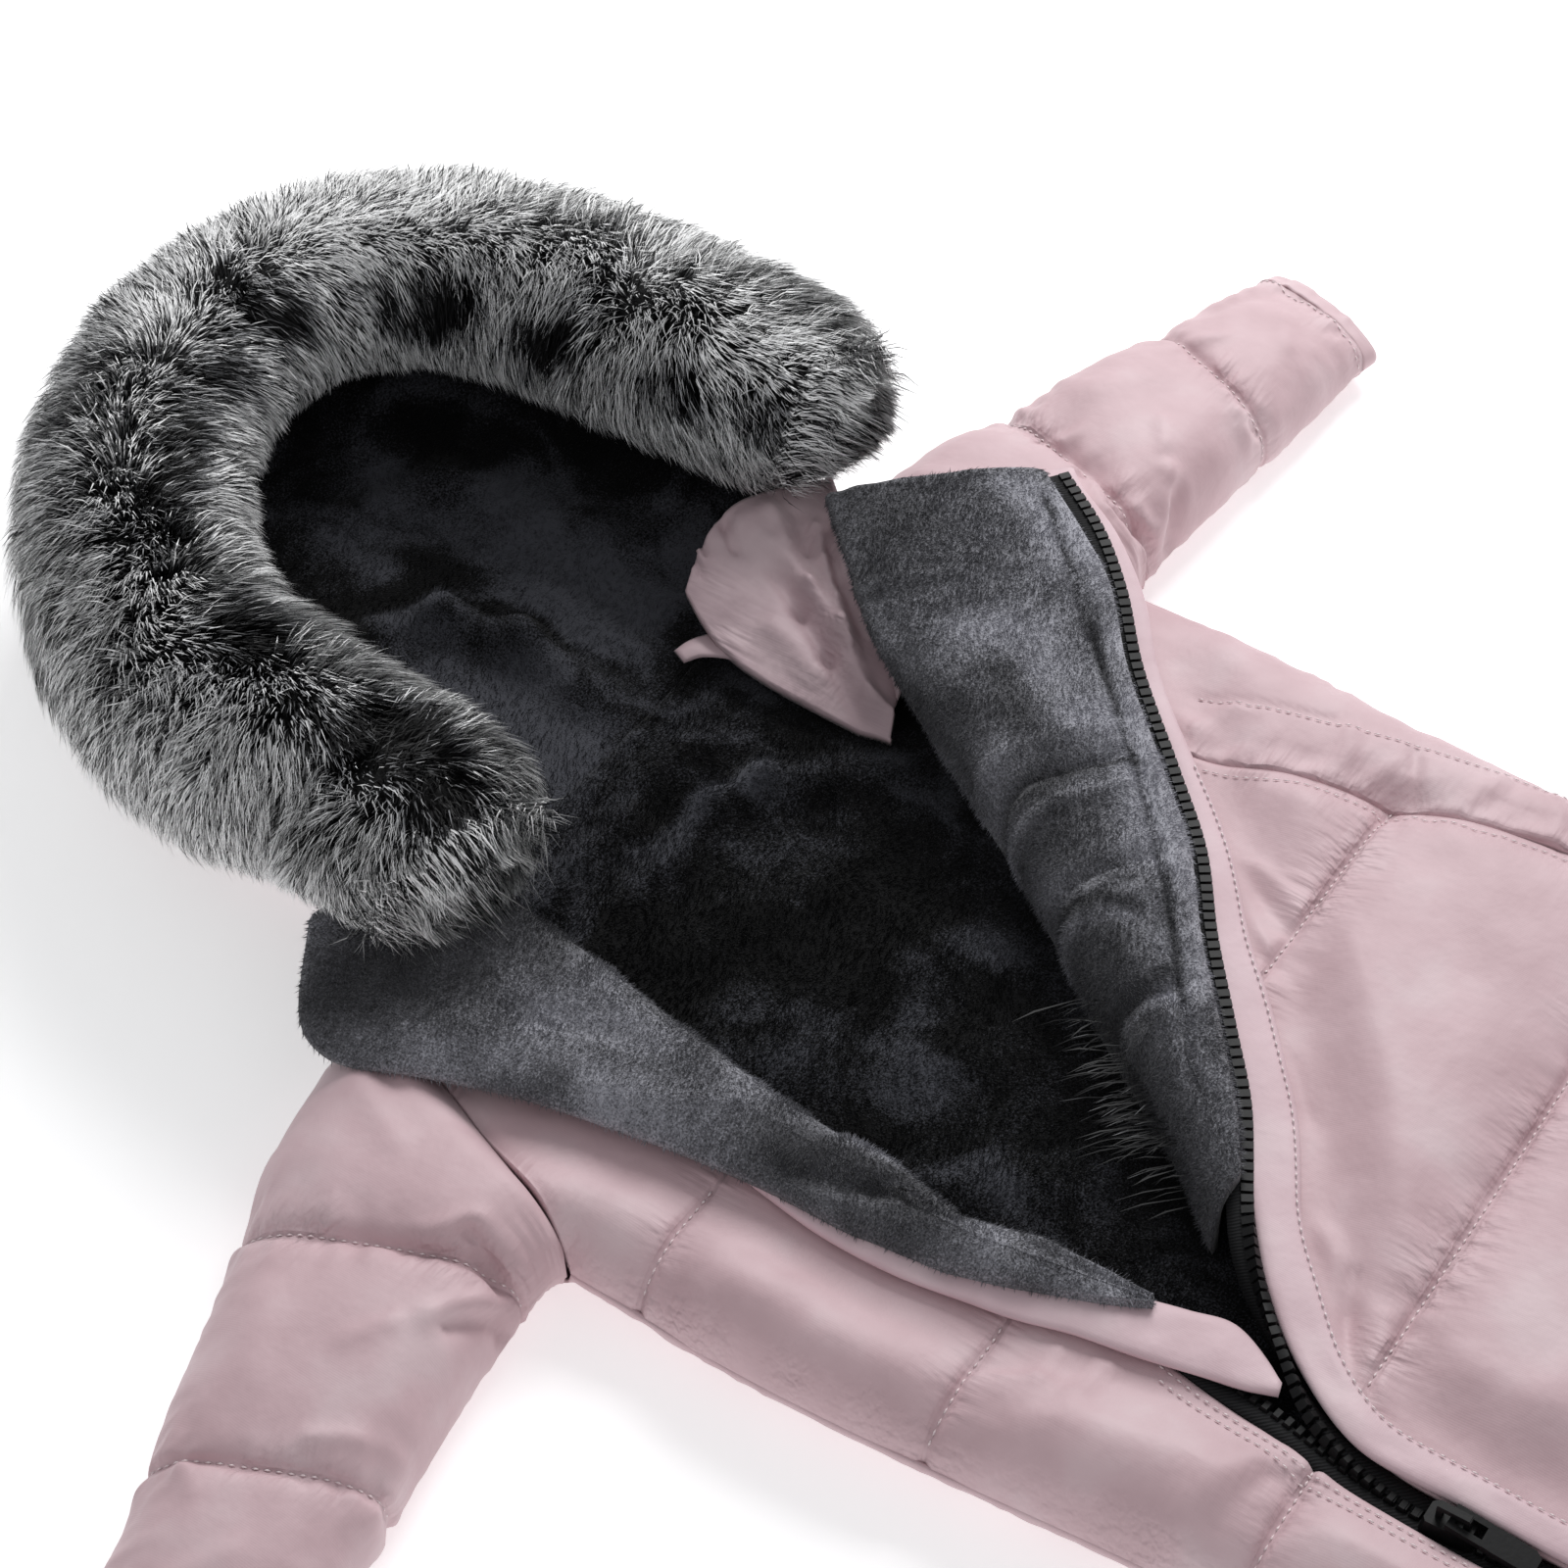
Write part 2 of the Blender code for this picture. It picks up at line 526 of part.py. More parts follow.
def back_lining(plush):
    """Dark plush on the back's inside, as far as the open front shows it."""
    rows = np.linspace(LINING_END_Y, SHOULDER_Y, 24)
    clear = half_width(rows, 1) - EDGE_RADIUS - 2
    left = np.maximum(column(RIGHT_EDGE, rows) - LINING_UNDER, -clear)
    right = np.minimum(column(LEFT_EDGE, rows) + LINING_UNDER, clear)
    near_neck = rows > SHOULDER_Y - EDGE_RADIUS - 4
    left = np.where(near_neck, np.maximum(left, RIGHT_NECK_X - 8), left)
    right = np.where(near_neck, np.minimum(right, LEFT_NECK_X - 12), right)
    shares = np.linspace(0, 1, 20)
    x = left + (right - left) * shares[:, None]
    y = np.broadcast_to(rows, x.shape)
    ramp = ease((y - 40) / (SHOULDER_Y - 40))
    y = y + ramp * (neck_line(x) - SHOULDER_Y) - SEAM_GAP
    low = np.full(x.shape, BACK_INNER_Z + SEAM_GAP)
    open_front = ease(np.minimum(x - column(RIGHT_EDGE, y), column(LEFT_EDGE, y) - x) / 14 - 0.4)
    top = low + PLUSH + fold_ridges(x, y, LINING_FOLDS) * open_front
    wall("lining_back", np.stack([x, y, top], -1), np.stack([x, y, low], -1), plush)


# ---------------------------------------------------------------- facings, bands and zip


def facing(name, rows, rounds, material):
    """A plush facing folded over a front's edge: down inside it, over the fold, out across it."""
    table = along(rows, np.linspace(0, 1, rounds))
    fold, edge = table[:, :2], table[:, 3:5]
    low, base, top = table[:, 2], table[:, 5], table[:, 6]
    width = np.linalg.norm(edge - fold, axis=1)
    out = (edge - fold) / width[:, None]
    crest = np.minimum(11, 0.42 * width)
    wall_in = np.minimum(3.4, 0.3 * width)
    edge_top = base + 4.2
    bend = np.clip(0.3 * (base - low), 0, 2)
    # across from the fold line, height; outer then inner side of each step round the section
    outer = (
        (0.5 + 0 * width, low), (-1.8 + 0 * width, low + 0.38 * (top - low)),
        (-1.0 + 0 * width, low + 0.74 * (top - low)), (0.36 * crest, top - 2.2), (crest, top),
        (0.30 * width + 0.35 * crest, top - 0.2), (0.62 * width, top - 0.12 * (top - edge_top)),
        (0.82 * width, top - 0.45 * (top - edge_top)), (0.95 * width, edge_top), (width, edge_top - 2.2),
    )
    inner = (
        (0.5 + wall_in, low), (wall_in - 0.6, low + 0.34 * (base - low)),
        (wall_in - 0.2, low + 0.68 * (base - low)), (0.36 * crest + 0.6 * wall_in, base - bend),
        (crest + 0.4 * wall_in, base), (0.30 * width + 0.35 * crest + 0.3 * wall_in, base),
        (0.62 * width + 0.1 * wall_in, base), (0.82 * width, base), (0.95 * width, base), (width, base),
    )
    grids = []
    for section in (outer, inner):
        across = np.array([a for a, _ in section])
        height = np.array([h for _, h in section])
        plan = fold + out * across[..., None]
        grids.append(np.concatenate([plan, height[..., None]], axis=-1))
    wall(name, grids[0], grids[1], material)


def lapel_rows():
    """The lapel's table, its outer edge moved in from the teeth by the tape that shows."""
    rows = []
    for fold_x, fold_y, low, teeth_x, teeth_y, base, top in LAPEL:
        reach = math.hypot(fold_x - teeth_x, fold_y - teeth_y)
        share = min(TAPE_SHOWN, 0.5 * reach) / reach
        edge = (teeth_x + share * (fold_x - teeth_x), teeth_y + share * (fold_y - teeth_y))
        rows.append((fold_x, fold_y, low, *edge, base, top))
    return rows


def flat_strip(name, near, far, base, thick, material, crown=0.0):
    """A flat band between two plan paths at its own height."""
    plan = np.stack([near, (near + far) / 2, far])
    lift = np.array([0, crown, 0])[:, None]
    low = np.broadcast_to(base, plan.shape[:2])
    outer = np.concatenate([plan, (low + thick + lift)[..., None]], axis=-1)
    inner = np.concatenate([plan, low[..., None]], axis=-1)
    wall(name, outer, inner, material)


def plackets(nylon):
    table = along(PLACKET, np.linspace(0, 1, 34))
    side = side_normals(table)
    near = table[:, :2] + side * table[:, 3:4]
    far = table[:, :2] + side * table[:, 4:5]
    flat_strip("placket_left", near, far, table[:, 2], PLACKET_WALL, nylon, crown=0.5)
    band = along(RIGHT_BAND, np.linspace(0, 1, 16))
    flat_strip("placket_right", band[:, :2], band[:, 2:], np.full(16, BAND_Z), BAND_WALL, nylon)


def zip_tapes(tape):
    """Two woven tapes. The left one turns over where the lapel ends and the zip closes."""
    shares = np.linspace(0, 1, 36)
    table = along(LEFT_TAPE, shares)
    way = np.gradient(table[:, :3], axis=0)
    way /= np.linalg.norm(way, axis=1)[:, None]
    side = side_normals(table)
    turn = np.radians(np.interp(shares, way_shares(LEFT_TAPE), np.asarray(LEFT_TAPE, float)[:, 4]))
    cross = np.column_stack([-side * np.cos(turn)[:, None], -np.sin(turn)])
    cross -= way * (cross * way).sum(1)[:, None]
    cross /= np.linalg.norm(cross, axis=1)[:, None]
    normal = np.cross(way, cross)
    edges = np.stack([table[:, :3], table[:, :3] + cross * table[:, 3:4]])
    wall("zip_tape_left", edges + normal * TAPE / 2, edges - normal * TAPE / 2, tape)

    rows = FRONT_ROWS[(FRONT_ROWS >= ZIP_END_Y) & (FRONT_ROWS <= -140)]
    outer_x = column(RIGHT_EDGE, rows) + SEAM_GAP
    closed = column(ZIP_LINE, rows) - SEAM_GAP
    inner_x = np.where(rows < -227, closed, outer_x + 6.4)
    rise = ease((rows + 240) / 40)
    base = TAPE_Z - TAPE / 2 + 3.0 * rise
    plan = np.stack([np.column_stack([outer_x, rows]), np.column_stack([inner_x, rows])])
    low = np.broadcast_to(base, plan.shape[:2])[..., None]
    wall("zip_tape_right", np.concatenate([plan, low + TAPE], -1), np.concatenate([plan, low], -1), tape)


def block(name, outline, low, high, material, taper=0.0):
    """A plan outline raised between two heights, its top drawn in a little."""
    outline = np.asarray(outline, float)
    middle = outline.mean(0)
    top = middle + (outline - middle) * (1 - taper)
    n = len(outline)
    points = np.vstack([np.column_stack([outline, np.full(n, low)]), np.column_stack([top, np.full(n, high)])])
    faces = [tuple(range(n))[::-1], tuple(range(n, 2 * n))]
    faces += [(i, (i + 1) % n, (i + 1) % n + n, i + n) for i in range(n)]
    return solid(name, points, faces, material)


def joined(pieces, name):
    """Overlapping solids made into one closed body."""
    base = pieces[0]
    for other in pieces[1:]:
        union = base.modifiers.new("join", "BOOLEAN")
        union.operation = "UNION"
        union.object = other
        bpy.context.view_layer.update()
        graph = bpy.context.evaluated_depsgraph_get()
        mesh = bpy.data.meshes.new_from_object(base.evaluated_get(graph))
        base.modifiers.clear()
        base.data = mesh
        bpy.data.objects.remove(other)
    base.name = name
    return base


SLIDER_TOP = 38.0
BAR_RADIUS = 1.0
BAR_Z = SLIDER_TOP + 0.8 + BAR_RADIUS
BRIDGE_LOW = BAR_Z + BAR_RADIUS + 0.7
BRIDGE_HIGH = BRIDGE_LOW + 1.6


def zip_slider(moulding):
    """The slider: a waisted body on the teeth, with a bridge that holds the pull tab's bar."""
    x, y = float(column(ZIP_LINE, SLIDER_Y)), SLIDER_Y
    body = [(-4.6, 7.5), (-3.2, 8.6), (3.2, 8.6), (4.6, 7.5), (4.6, 2), (3.6, -6), (2.6, -7.4), (-2.6, -7.4),
            (-3.6, -6), (-4.6, 2)]
    outline = [(x + a, y + b) for a, b in body]
    base = block("slider_body", outline, TAPE_Z + TAPE / 2 + 0.6, SLIDER_TOP, moulding, taper=0.12)
    posts = []
    for side in (-1, 1):
        middle = y + side * 4.2
        post = [(x - 1.2, middle - 0.9), (x + 1.2, middle - 0.9), (x + 1.2, middle + 0.9), (x - 1.2, middle + 0.9)]
        posts.append(block("slider_post", post, SLIDER_TOP - 1, BRIDGE_HIGH - 0.3, moulding))
    bridge = [(x - 1.3, y - 5.2), (x + 1.3, y - 5.2), (x + 1.3, y + 5.2), (x - 1.3, y + 5.2)]
    posts.append(block("slider_bridge", bridge, BRIDGE_LOW, BRIDGE_HIGH, moulding, taper=0.08))
    joined([base, *posts], "zip_slider")


def pull_tab(moulding):
    """The pull tab: a bar under the slider's bridge, two arms and a plate, lying down the zip."""
    x, y = float(column(ZIP_LINE, SLIDER_Y)), SLIDER_Y
    reach = PULL_TAB_LENGTH
    plate = [(-4.2, -9), (4.2, -9), (4.4, -13), (4.2, -reach + 2.4), (2.6, -reach), (-2.6, -reach),
             (-4.2, -reach + 2.4), (-4.4, -13)]
    arms = [((-4.2, -10), (-2.2, -10), (-2.2, 1), (-4.2, 1)), ((2.2, -10), (4.2, -10), (4.2, 1), (2.2, 1))]
    pieces = [block("tab_plate", plate, -BAR_RADIUS, BAR_RADIUS, moulding, taper=0.04)]
    pieces += [block("tab_arm", arm, -BAR_RADIUS, BAR_RADIUS, moulding) for arm in arms]
    bar = ((-3.2, -0.9), (3.2, -0.9), (3.2, 0.9), (-3.2, 0.9))
    pieces.append(block("tab_bar", bar, -BAR_RADIUS + 0.1, BAR_RADIUS - 0.1, moulding))
    tab = joined(pieces, "pull_tab")
    tab.location = (x * MM, y * MM, BAR_Z * MM)
    tab.rotation_euler = (PULL_TAB_DROOP, 0, 0)


# ---------------------------------------------------------------- neck guard, hood and fur


def neck_guard(nylon):
    """The crumpled nylon between the fur's left end and the lapel."""
    table = along(np.asarray(NECK_GUARD, float), np.linspace(0, 1, 9))
    shares = np.linspace(0, 1, 7)[:, None, None]
    middle = table[:, :3] + (table[:, 3:] - table[:, :3]) * shares
    across = np.broadcast_to(shares[..., 0], middle.shape[:2])
    down = np.broadcast_to(np.linspace(0, 1, 9), middle.shape[:2])
    arch = np.sin(math.pi * across) * 2.5
    crumple = np.sin(across * 9 + down * 4) * np.sin(down * 7 - across * 3) * GUARD_CRUMPLE
    calm = np.sin(math.pi * across) ** 0.5
    middle[..., 2] += arch + crumple * calm
    half = np.array([0, 0, GUARD_WALL / 2])
    wall("neck_guard", middle + half, middle - half, nylon)


def hood_plan(across, up):
    """A point of the hood in plan: across from the right rim to the left, up from neck to crown."""
    across, up = np.asarray(across, float), np.asarray(up, float)
    right = along(RIM, CROWN_FROM * up)
    left = along(RIM, 1 - (1 - CROWN_TO) * up)
    crown = along(RIM, CROWN_FROM + (CROWN_TO - CROWN_FROM) * across)
    neck_x = RIM[0][0] + (RIM[-1][0] - RIM[0][0]) * across
    neck_y = np.maximum(neck_line(neck_x), SHOULDER_Y + 9) + 2 * SEAM_GAP
    blend_right = 1 - ease((neck_x - RIM[0][0]) / 14)
    blend_left = 1 - ease((RIM[-1][0] - neck_x) / 40)
    neck_y = neck_y + blend_right * (RIM[0][1] - neck_y) + blend_left * (RIM[-1][1] - neck_y)
    neck = np.stack([neck_x, neck_y], axis=-1)
    a, u = across[..., None], up[..., None]
    corners = ((1 - a) * (1 - u) * RIM[0] + a * (1 - u) * RIM[-1]
               + (1 - a) * u * along(RIM, CROWN_FROM) + a * u * along(RIM, CROWN_TO))
    return (1 - a) * right + a * left + (1 - u) * neck + u * crown - corners


def hood_depth(plan):
    """Height of the hood's outside over the floor, a bowl that rises to its rim."""
    rim = along(RIM, np.linspace(0, 1, 60))
    gap, _ = distance_to(rim, plan[..., 0], plan[..., 1])
    return RIM_Z * np.clip(1 - gap / HOOD_BOWL, 0, 1) ** 1.8


def hood_wall(name, across, up, lift, thick, material, folds=None):
    """A stretch of the hood's bowl, lifted off its outside by the layers under it."""
    a = np.broadcast_to(np.asarray(across)[:, None], (len(across), len(up)))
    u = np.broadcast_to(np.asarray(up), a.shape)
    plan = hood_plan(a, u)
    low = hood_depth(plan) + lift
    top = low + thick
    if folds is not None:
        top = top + fold_ridges(plan[..., 0], plan[..., 1], folds)
    outer = np.concatenate([plan, low[..., None]], -1)
    inner = np.concatenate([plan, top[..., None]], -1)
    wall(name, outer, inner, material)


HOOD_UP = (0, 0.12, 0.26, 0.42, 0.58, 0.72, 0.84, 0.93, 1)
HOOD_FOLDS = ((20, 205, 30, 135, 9.0, 14), (-25, 150, -10, 220, 6.0, 16), (95, 240, 105, 170, 4.0, 12))


def hood(nylon, plush):
    width = RIM[-1][0] - RIM[0][0]
    gap = SEAM_GAP / width
    names = ("hood_right", "hood_centre", "hood_left")
    spreads = ((0, 0.03, 0.2, 0.45, 0.72, 1), (0, 0.25, 0.5, 0.75, 1), (0, 0.28, 0.55, 0.8, 0.97, 1))
    for name, start, end, spread in zip(names, HOOD_SEAMS, HOOD_SEAMS[1:], spreads):
        low = start + (gap if start > 0 else 0)
        high = end - (gap if end < 1 else 0)
        across = low + (high - low) * np.array(spread)
        hood_wall(name, across, HOOD_UP, 0, HOOD_WALL, nylon)
    columns = [a + (b - a) * s for a, b, spread in zip(HOOD_SEAMS, HOOD_SEAMS[1:], spreads) for s in spread]
    across = sorted(set(round(c, 6) for c in columns))
    hood_wall("hood_lining", across, HOOD_UP, HOOD_WALL + SEAM_GAP, PLUSH, plush, HOOD_FOLDS)


def fur_trim(fur):
    """The faux fur round the hood's opening, out to the tips of its pile."""
    shares = np.concatenate([[0, 0.008, 0.02, 0.04], np.linspace(0.06, 0.94, 23), [0.965, 0.985, 0.995, 1]])
    path = along(FUR_PATH, shares)
    outward = side_normals(path)
    inward, out, low_in, low_out, top = smooth(FUR, shares).T
    rings = []
    for side, reach, height in FUR_SECTION:
        offset = out * reach if side > 0 else -inward * reach
        low = low_out if side > 0 else low_in
        z = low + (top - low) * height
        if (side, reach) == FUR_SECTION[-1][:2]:
            z = low_in + 1.2
            offset = np.maximum(offset, 2.0)
        rings.append(np.column_stack([path + outward * offset[:, None], z]))
    grid = np.array(rings)
    turns, stations = grid.shape[:2]
    index = np.arange(turns * stations).reshape(turns, stations)
    faces = [tuple(int(k) for k in index[:, 0]), tuple(int(k) for k in index[::-1, -1])]
    for i in range(turns):
        n = (i + 1) % turns
        for j in range(stations - 1):
            faces.append(tuple(int(k) for k in (index[i, j], index[n, j], index[n, j + 1], index[i, j + 1])))
    solid("fur_trim", grid.reshape(-1, 3), faces, fur)


# ---------------------------------------------------------------- sleeves


def sleeve_rings(table, wall_thick):
    """Outer and inner rings of a flattened sleeve, one for each row of its table."""
    over, under = table[:, :2], table[:, 2:4]
    top, seam = table[:, 4], table[:, 5]
    width = np.linalg.norm(over - under, axis=1)
    way = (over - under) / width[:, None]
    radius = np.minimum(EDGE_RADIUS, 0.42 * width)
    outer, inner = [], []
    steps = [(0.0, 1)] + [(s, 1) for s in SLEEVE_TOP] + [(1.0, 1)] + [(s, -1) for s in SLEEVE_UNDER]
    for share, side in steps:
        gap = np.minimum(share, 1 - share) * width
        turn = np.clip(1 - gap / radius, 0, 1)
        rise = np.sqrt(1 - turn**2)
        plan = under + way * (share * width)[:, None]
        height = (top - seam) * rise if side > 0 else -seam * rise
        shift = turn * wall_thick * (1 if share < 0.5 else -1)
        inside_plan = plan + way * shift[:, None]
        hollow = SLEEVE_HOLLOW / 2 * rise * side
        outer.append(np.column_stack([plan, seam + height]))
        inner.append(np.column_stack([inside_plan, seam + hollow]))
    return np.array(outer), np.array(inner)


def mirrored(grid, side):
    return grid * np.array([side, 1, 1])


def cuff_rows(table):
    """The sleeve's last row carried on past its end, as the hem band's rows."""
    end, before = table[-1], table[-2]
    way = (end[:4] - before[:4]).reshape(2, 2)
    way /= np.linalg.norm(way, axis=1)[:, None]
    rows = []
    for step in (SEAM_GAP, CUFF_LENGTH * 0.5, CUFF_LENGTH):
        row = end.copy()
        row[:4] += (way * step).ravel()
        row[4] -= CUFF_DROP * step / CUFF_LENGTH
        rows.append(row)
    return np.array(rows)


def sleeves(nylon):
    for name, side, extra in (("left", 1, 0), ("right", -1, 1)):
        table = np.asarray(SLEEVE, float)
        table[:, 1] -= extra * table[:, 6]
        table[:, 3] -= extra * table[:, 6]
        outer, inner = sleeve_rings(table, SLEEVE_WALL)
        wall(f"sleeve_{name}", mirrored(outer, side), mirrored(inner, side), nylon, ring=True)
        outer, inner = sleeve_rings(cuff_rows(table), SLEEVE_WALL - 1)
        wall(f"cuff_{name}", mirrored(outer, side), mirrored(inner, side), nylon, ring=True)


def main():
    for old in list(bpy.data.objects):
        bpy.data.objects.remove(old)
    nylon = finish("pink_nylon", "CDB9BB", 0.45)
    band_nylon = finish("pink_nylon_band", "D6C0C6", 0.45)
    dark_plush = finish("dark_plush", "1D1D21", 0.95)
    grey_plush = finish("grey_plush", "63666C", 0.95)
    tape = finish("black_tape", "161617", 0.8)
    moulding = finish("black_acetal", "121213", 0.35)
    fur = finish("faux_fur", "3A3A3E", 1.0)
    back(nylon)
    back_lining(dark_plush)
    fronts(nylon)
    facing("facing_left", lapel_rows(), 17, grey_plush)
    facing("facing_right", RIGHT_FACING, 17, grey_plush)
    plackets(band_nylon)
    zip_tapes(tape)
    zip_slider(moulding)
    pull_tab(moulding)
    neck_guard(band_nylon)
    hood(nylon, dark_plush)
    fur_trim(fur)
    sleeves(nylon)


main()
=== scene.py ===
"""Looks of a baby bunting bag that lies open on its back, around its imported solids.

Lengths are millimetres until a mesh is made. X runs to the wearer's left, Y towards the head, Z up.
Each cloth piece is a fine grid of points on its solid's form, with folds and puckers raised from it.
"""

import math

import bpy
import numpy as np
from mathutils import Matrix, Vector


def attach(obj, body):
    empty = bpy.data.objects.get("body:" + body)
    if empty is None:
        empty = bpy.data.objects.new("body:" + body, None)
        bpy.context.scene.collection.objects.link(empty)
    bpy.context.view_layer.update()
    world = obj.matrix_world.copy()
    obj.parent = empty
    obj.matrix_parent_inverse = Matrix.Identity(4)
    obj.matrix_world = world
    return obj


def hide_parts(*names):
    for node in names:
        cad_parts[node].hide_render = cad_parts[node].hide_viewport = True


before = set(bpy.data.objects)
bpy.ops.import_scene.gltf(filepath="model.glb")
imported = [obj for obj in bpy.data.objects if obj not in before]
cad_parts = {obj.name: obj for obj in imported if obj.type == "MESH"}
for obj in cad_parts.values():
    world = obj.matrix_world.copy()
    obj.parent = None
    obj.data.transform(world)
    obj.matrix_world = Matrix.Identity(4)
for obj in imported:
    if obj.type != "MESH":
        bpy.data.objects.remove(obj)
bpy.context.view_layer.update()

MM = 0.001
SEAM_GAP = 0.3
CLOTH = 1.2
# Steps of the grids: down the garment, across its fronts and its back, and how many go round an edge.
PITCH = 3.0
PUCKER_PITCH = 2.35
BACK_PITCH = 8.0
ROUND_STEPS = 10
# A distance that stands for no seam near.
FAR_OFF = 60.0
# The soft noise repeats after this many of its bumps.
LATTICE = 61

# ---------------------------------------------------------------- sizes of the garment

FOOT_Y = -500.0
SHOULDER_Y = 104.0
SHOULDER_X = 128.0
SHOULDER_RISE = 0.3125
SHOULDER_FROM_Y = 55.0
RIGHT_NECK_X = -80.0
LEFT_NECK_X = 100.0
RIGHT_NECK_RISE = SHOULDER_RISE * (SHOULDER_X + RIGHT_NECK_X)
LEFT_NECK_RISE = SHOULDER_RISE * (SHOULDER_X - LEFT_NECK_X)
NECK_DIP = 6.0
NECK_FROM_Y = 40.0
ARMPIT_X = 172.0
# columns: y, the wearer's right half width, left half width
SIDE_LINE = (
    (-500, 98, 98), (-496, 112, 112), (-488, 125, 125), (-474, 137, 137), (-450, 148, 148),
    (-410, 156, 155), (-340, 163, 157), (-250, 166, 158), (-190, 168, 160), (-120, 173, 164),
    (-60, 175, 168), (0, 172, 172),
)
SIDE_SEAM_Z = 17.0
BACK_INNER_Z = 12.0
PLUSH = 4.0
FRONT_FLAT_Z = 33.0
CROWN = 2.0
EDGE_RADIUS = 25.0

STITCH_PITCH = 98.0
FIRST_STITCH_Y = -25.0
PUFF = 9.0
PUFF_POWER = 3.2
PUFF_ROOM = 30.0
CALM_BORDER = 12.0
SEAM_DIP = 5.0
SEAM_DIP_REACH = 9.0
SIDE_STRIP_PUFF = 5.0
PLAIN_FROM_SEAM = 12.0
STITCH_LINES = tuple(FIRST_STITCH_Y + STITCH_PITCH * k for k in range(-4, 2))

# columns: y, x
ZIP_LINE = ((-445, -112), (-380, -119), (-320, -122), (-262, -121), (-227, -118))
# The fronts meet in a seam below the zip, and stand apart along it.
FOOT_SEAM = ((-500, -88), (-490, -98), (-478, -104), (-462, -108.4), (-452, -110.5))
FOOT_SEAM_HALF, ZIP_HALF = 0.2, 7


def beside_zip(side):
    """A front's edge from the foot to the fork: side -1 is the wearer's right, 1 the left."""
    seam = [(y, x + side * FOOT_SEAM_HALF) for y, x in FOOT_SEAM]
    return (*seam, *((y, x + side * ZIP_HALF) for y, x in ZIP_LINE[:4]))


RIGHT_EDGE = beside_zip(-1) + (
    (-235, -126), (-205, -121), (-184, -118), (-158, -113), (-125, -112), (-93, -114), (-61, -108),
    (-13, -104), (43, -92), (90, -87), (104, -86),
)
LEFT_EDGE = beside_zip(1) + (
    (-237, -112), (-215, -102), (-195, -88), (-172, -70), (-153, -52), (-140, -39), (-116, -20), (-82, 5),
    (-54, 28), (-23, 50), (10, 68), (29, 77), (42, 84), (65, 98), (80, 109),
)
FRONT_LEFT_TOP_Y = 80.0
PRINCESS_SEAM = (
    (-500, 88), (-478, 108), (-440, 116), (-400, 122), (-300, 128), (-186, 128), (-120, 119),
    (-84, 109), (-52, 101), (0, 100), (50, 108), (75, 114), (104, 116),
)
ZIP_END_Y = -446.0
TAPE = 1.2
TAPE_Z = 31.1
SLIDER_Y = -262.0

# columns: fold x, fold y, fold's lower edge z, teeth x, teeth y, top of the layers under it, top
LAPEL = (
    (127, 99, 48.0, 186, 41, 49.2, 58), (105, 76, 46.0, 167, 15, 48.6, 57.5),
    (81, 51, 42.0, 148, -4, 47.0, 56), (66, 22, 30.0, 122, -25, 43.5, 53),
    (42, -23, 17.5, 88, -58, 41.0, 51), (19, -54, 17.5, 61, -83, 40.7, 51),
    (-4, -82, 17.5, 30, -104, 40.7, 50), (-29, -116, 17.5, 1, -126, 40.7, 49),
    (-47, -140, 17.5, -26, -146, 40.7, 47), (-58, -151, 17.5, -40, -154, 40.7, 46),
    (-64, -157, 19.0, -47, -157.5, 40.7, 45),
)
TAPE_SHOWN = 3.6
TAPE_SHOWN_TOP = 2.6
# columns: teeth x, teeth y, base, inner and outer edge from the teeth
PLACKET = (
    (189, 44, 44.5, -8, 6), (186, 41, 44.5, -8, 6), (167, 15, 43.9, -8, 7), (148, -4, 42.3, -8, 8),
    (122, -25, 38.8, -8, 8), (88, -58, 36.5, -8, 9), (61, -83, 36.2, -8, 11),
    (30, -104, 36.1, -8, 13), (1, -126, 36.1, -8, 15), (-26, -146, 36.4, -6, 16),
    (-42, -155, 36.4, -3, 16), (-55, -162, 36.4, 1, 16), (-82, -182, 36.2, 2, 17),
    (-101, -200, 36.1, 3.6, 17), (-118, -227, 36.1, 5, 18), (-121, -262, 36.1, 6, 18),
    (-122, -320, 36.1, 6, 18), (-119, -380, 36.1, 6, 18), (-112, -445, 36.1, 6, 18),
    (-110.5, -453, 36.1, 6, 16),
)
PLACKET_WALL = 2.4
# columns: teeth x, teeth y, z, width, turn in degrees from the lapel's side through down
LEFT_TAPE = (
    (186, 41, 48.2, 8, 0), (167, 15, 47.6, 8, 0), (148, -4, 46.0, 8, 0), (122, -25, 42.5, 8, 0),
    (88, -58, 40.1, 8, 0), (61, -83, 39.8, 8, 0), (30, -104, 39.7, 8, 0), (1, -126, 39.7, 8, 0),
    (-26, -146, 39.7, 8, 0), (-42, -155, 39.7, 7, 0), (-55, -162, 39.7, 6, 0), (-69, -171, 39.7, 6.5, 38),
    (-84, -183, 39.7, 7, 72), (-98, -197, 39.2, 7, 105), (-110, -212, 36.5, 6.5, 140),
    (-116.5, -228, 33.5, 6.2, 170), (-119.6, -244, 31.6, 6.2, 180), (-120.6, -262, 31.1, 6.2, 180),
    (-121.6, -320, 31.1, 6.2, 180), (-118.6, -380, 31.1, 6.2, 180), (-111.7, -444, 31.1, 6.2, 180),
)
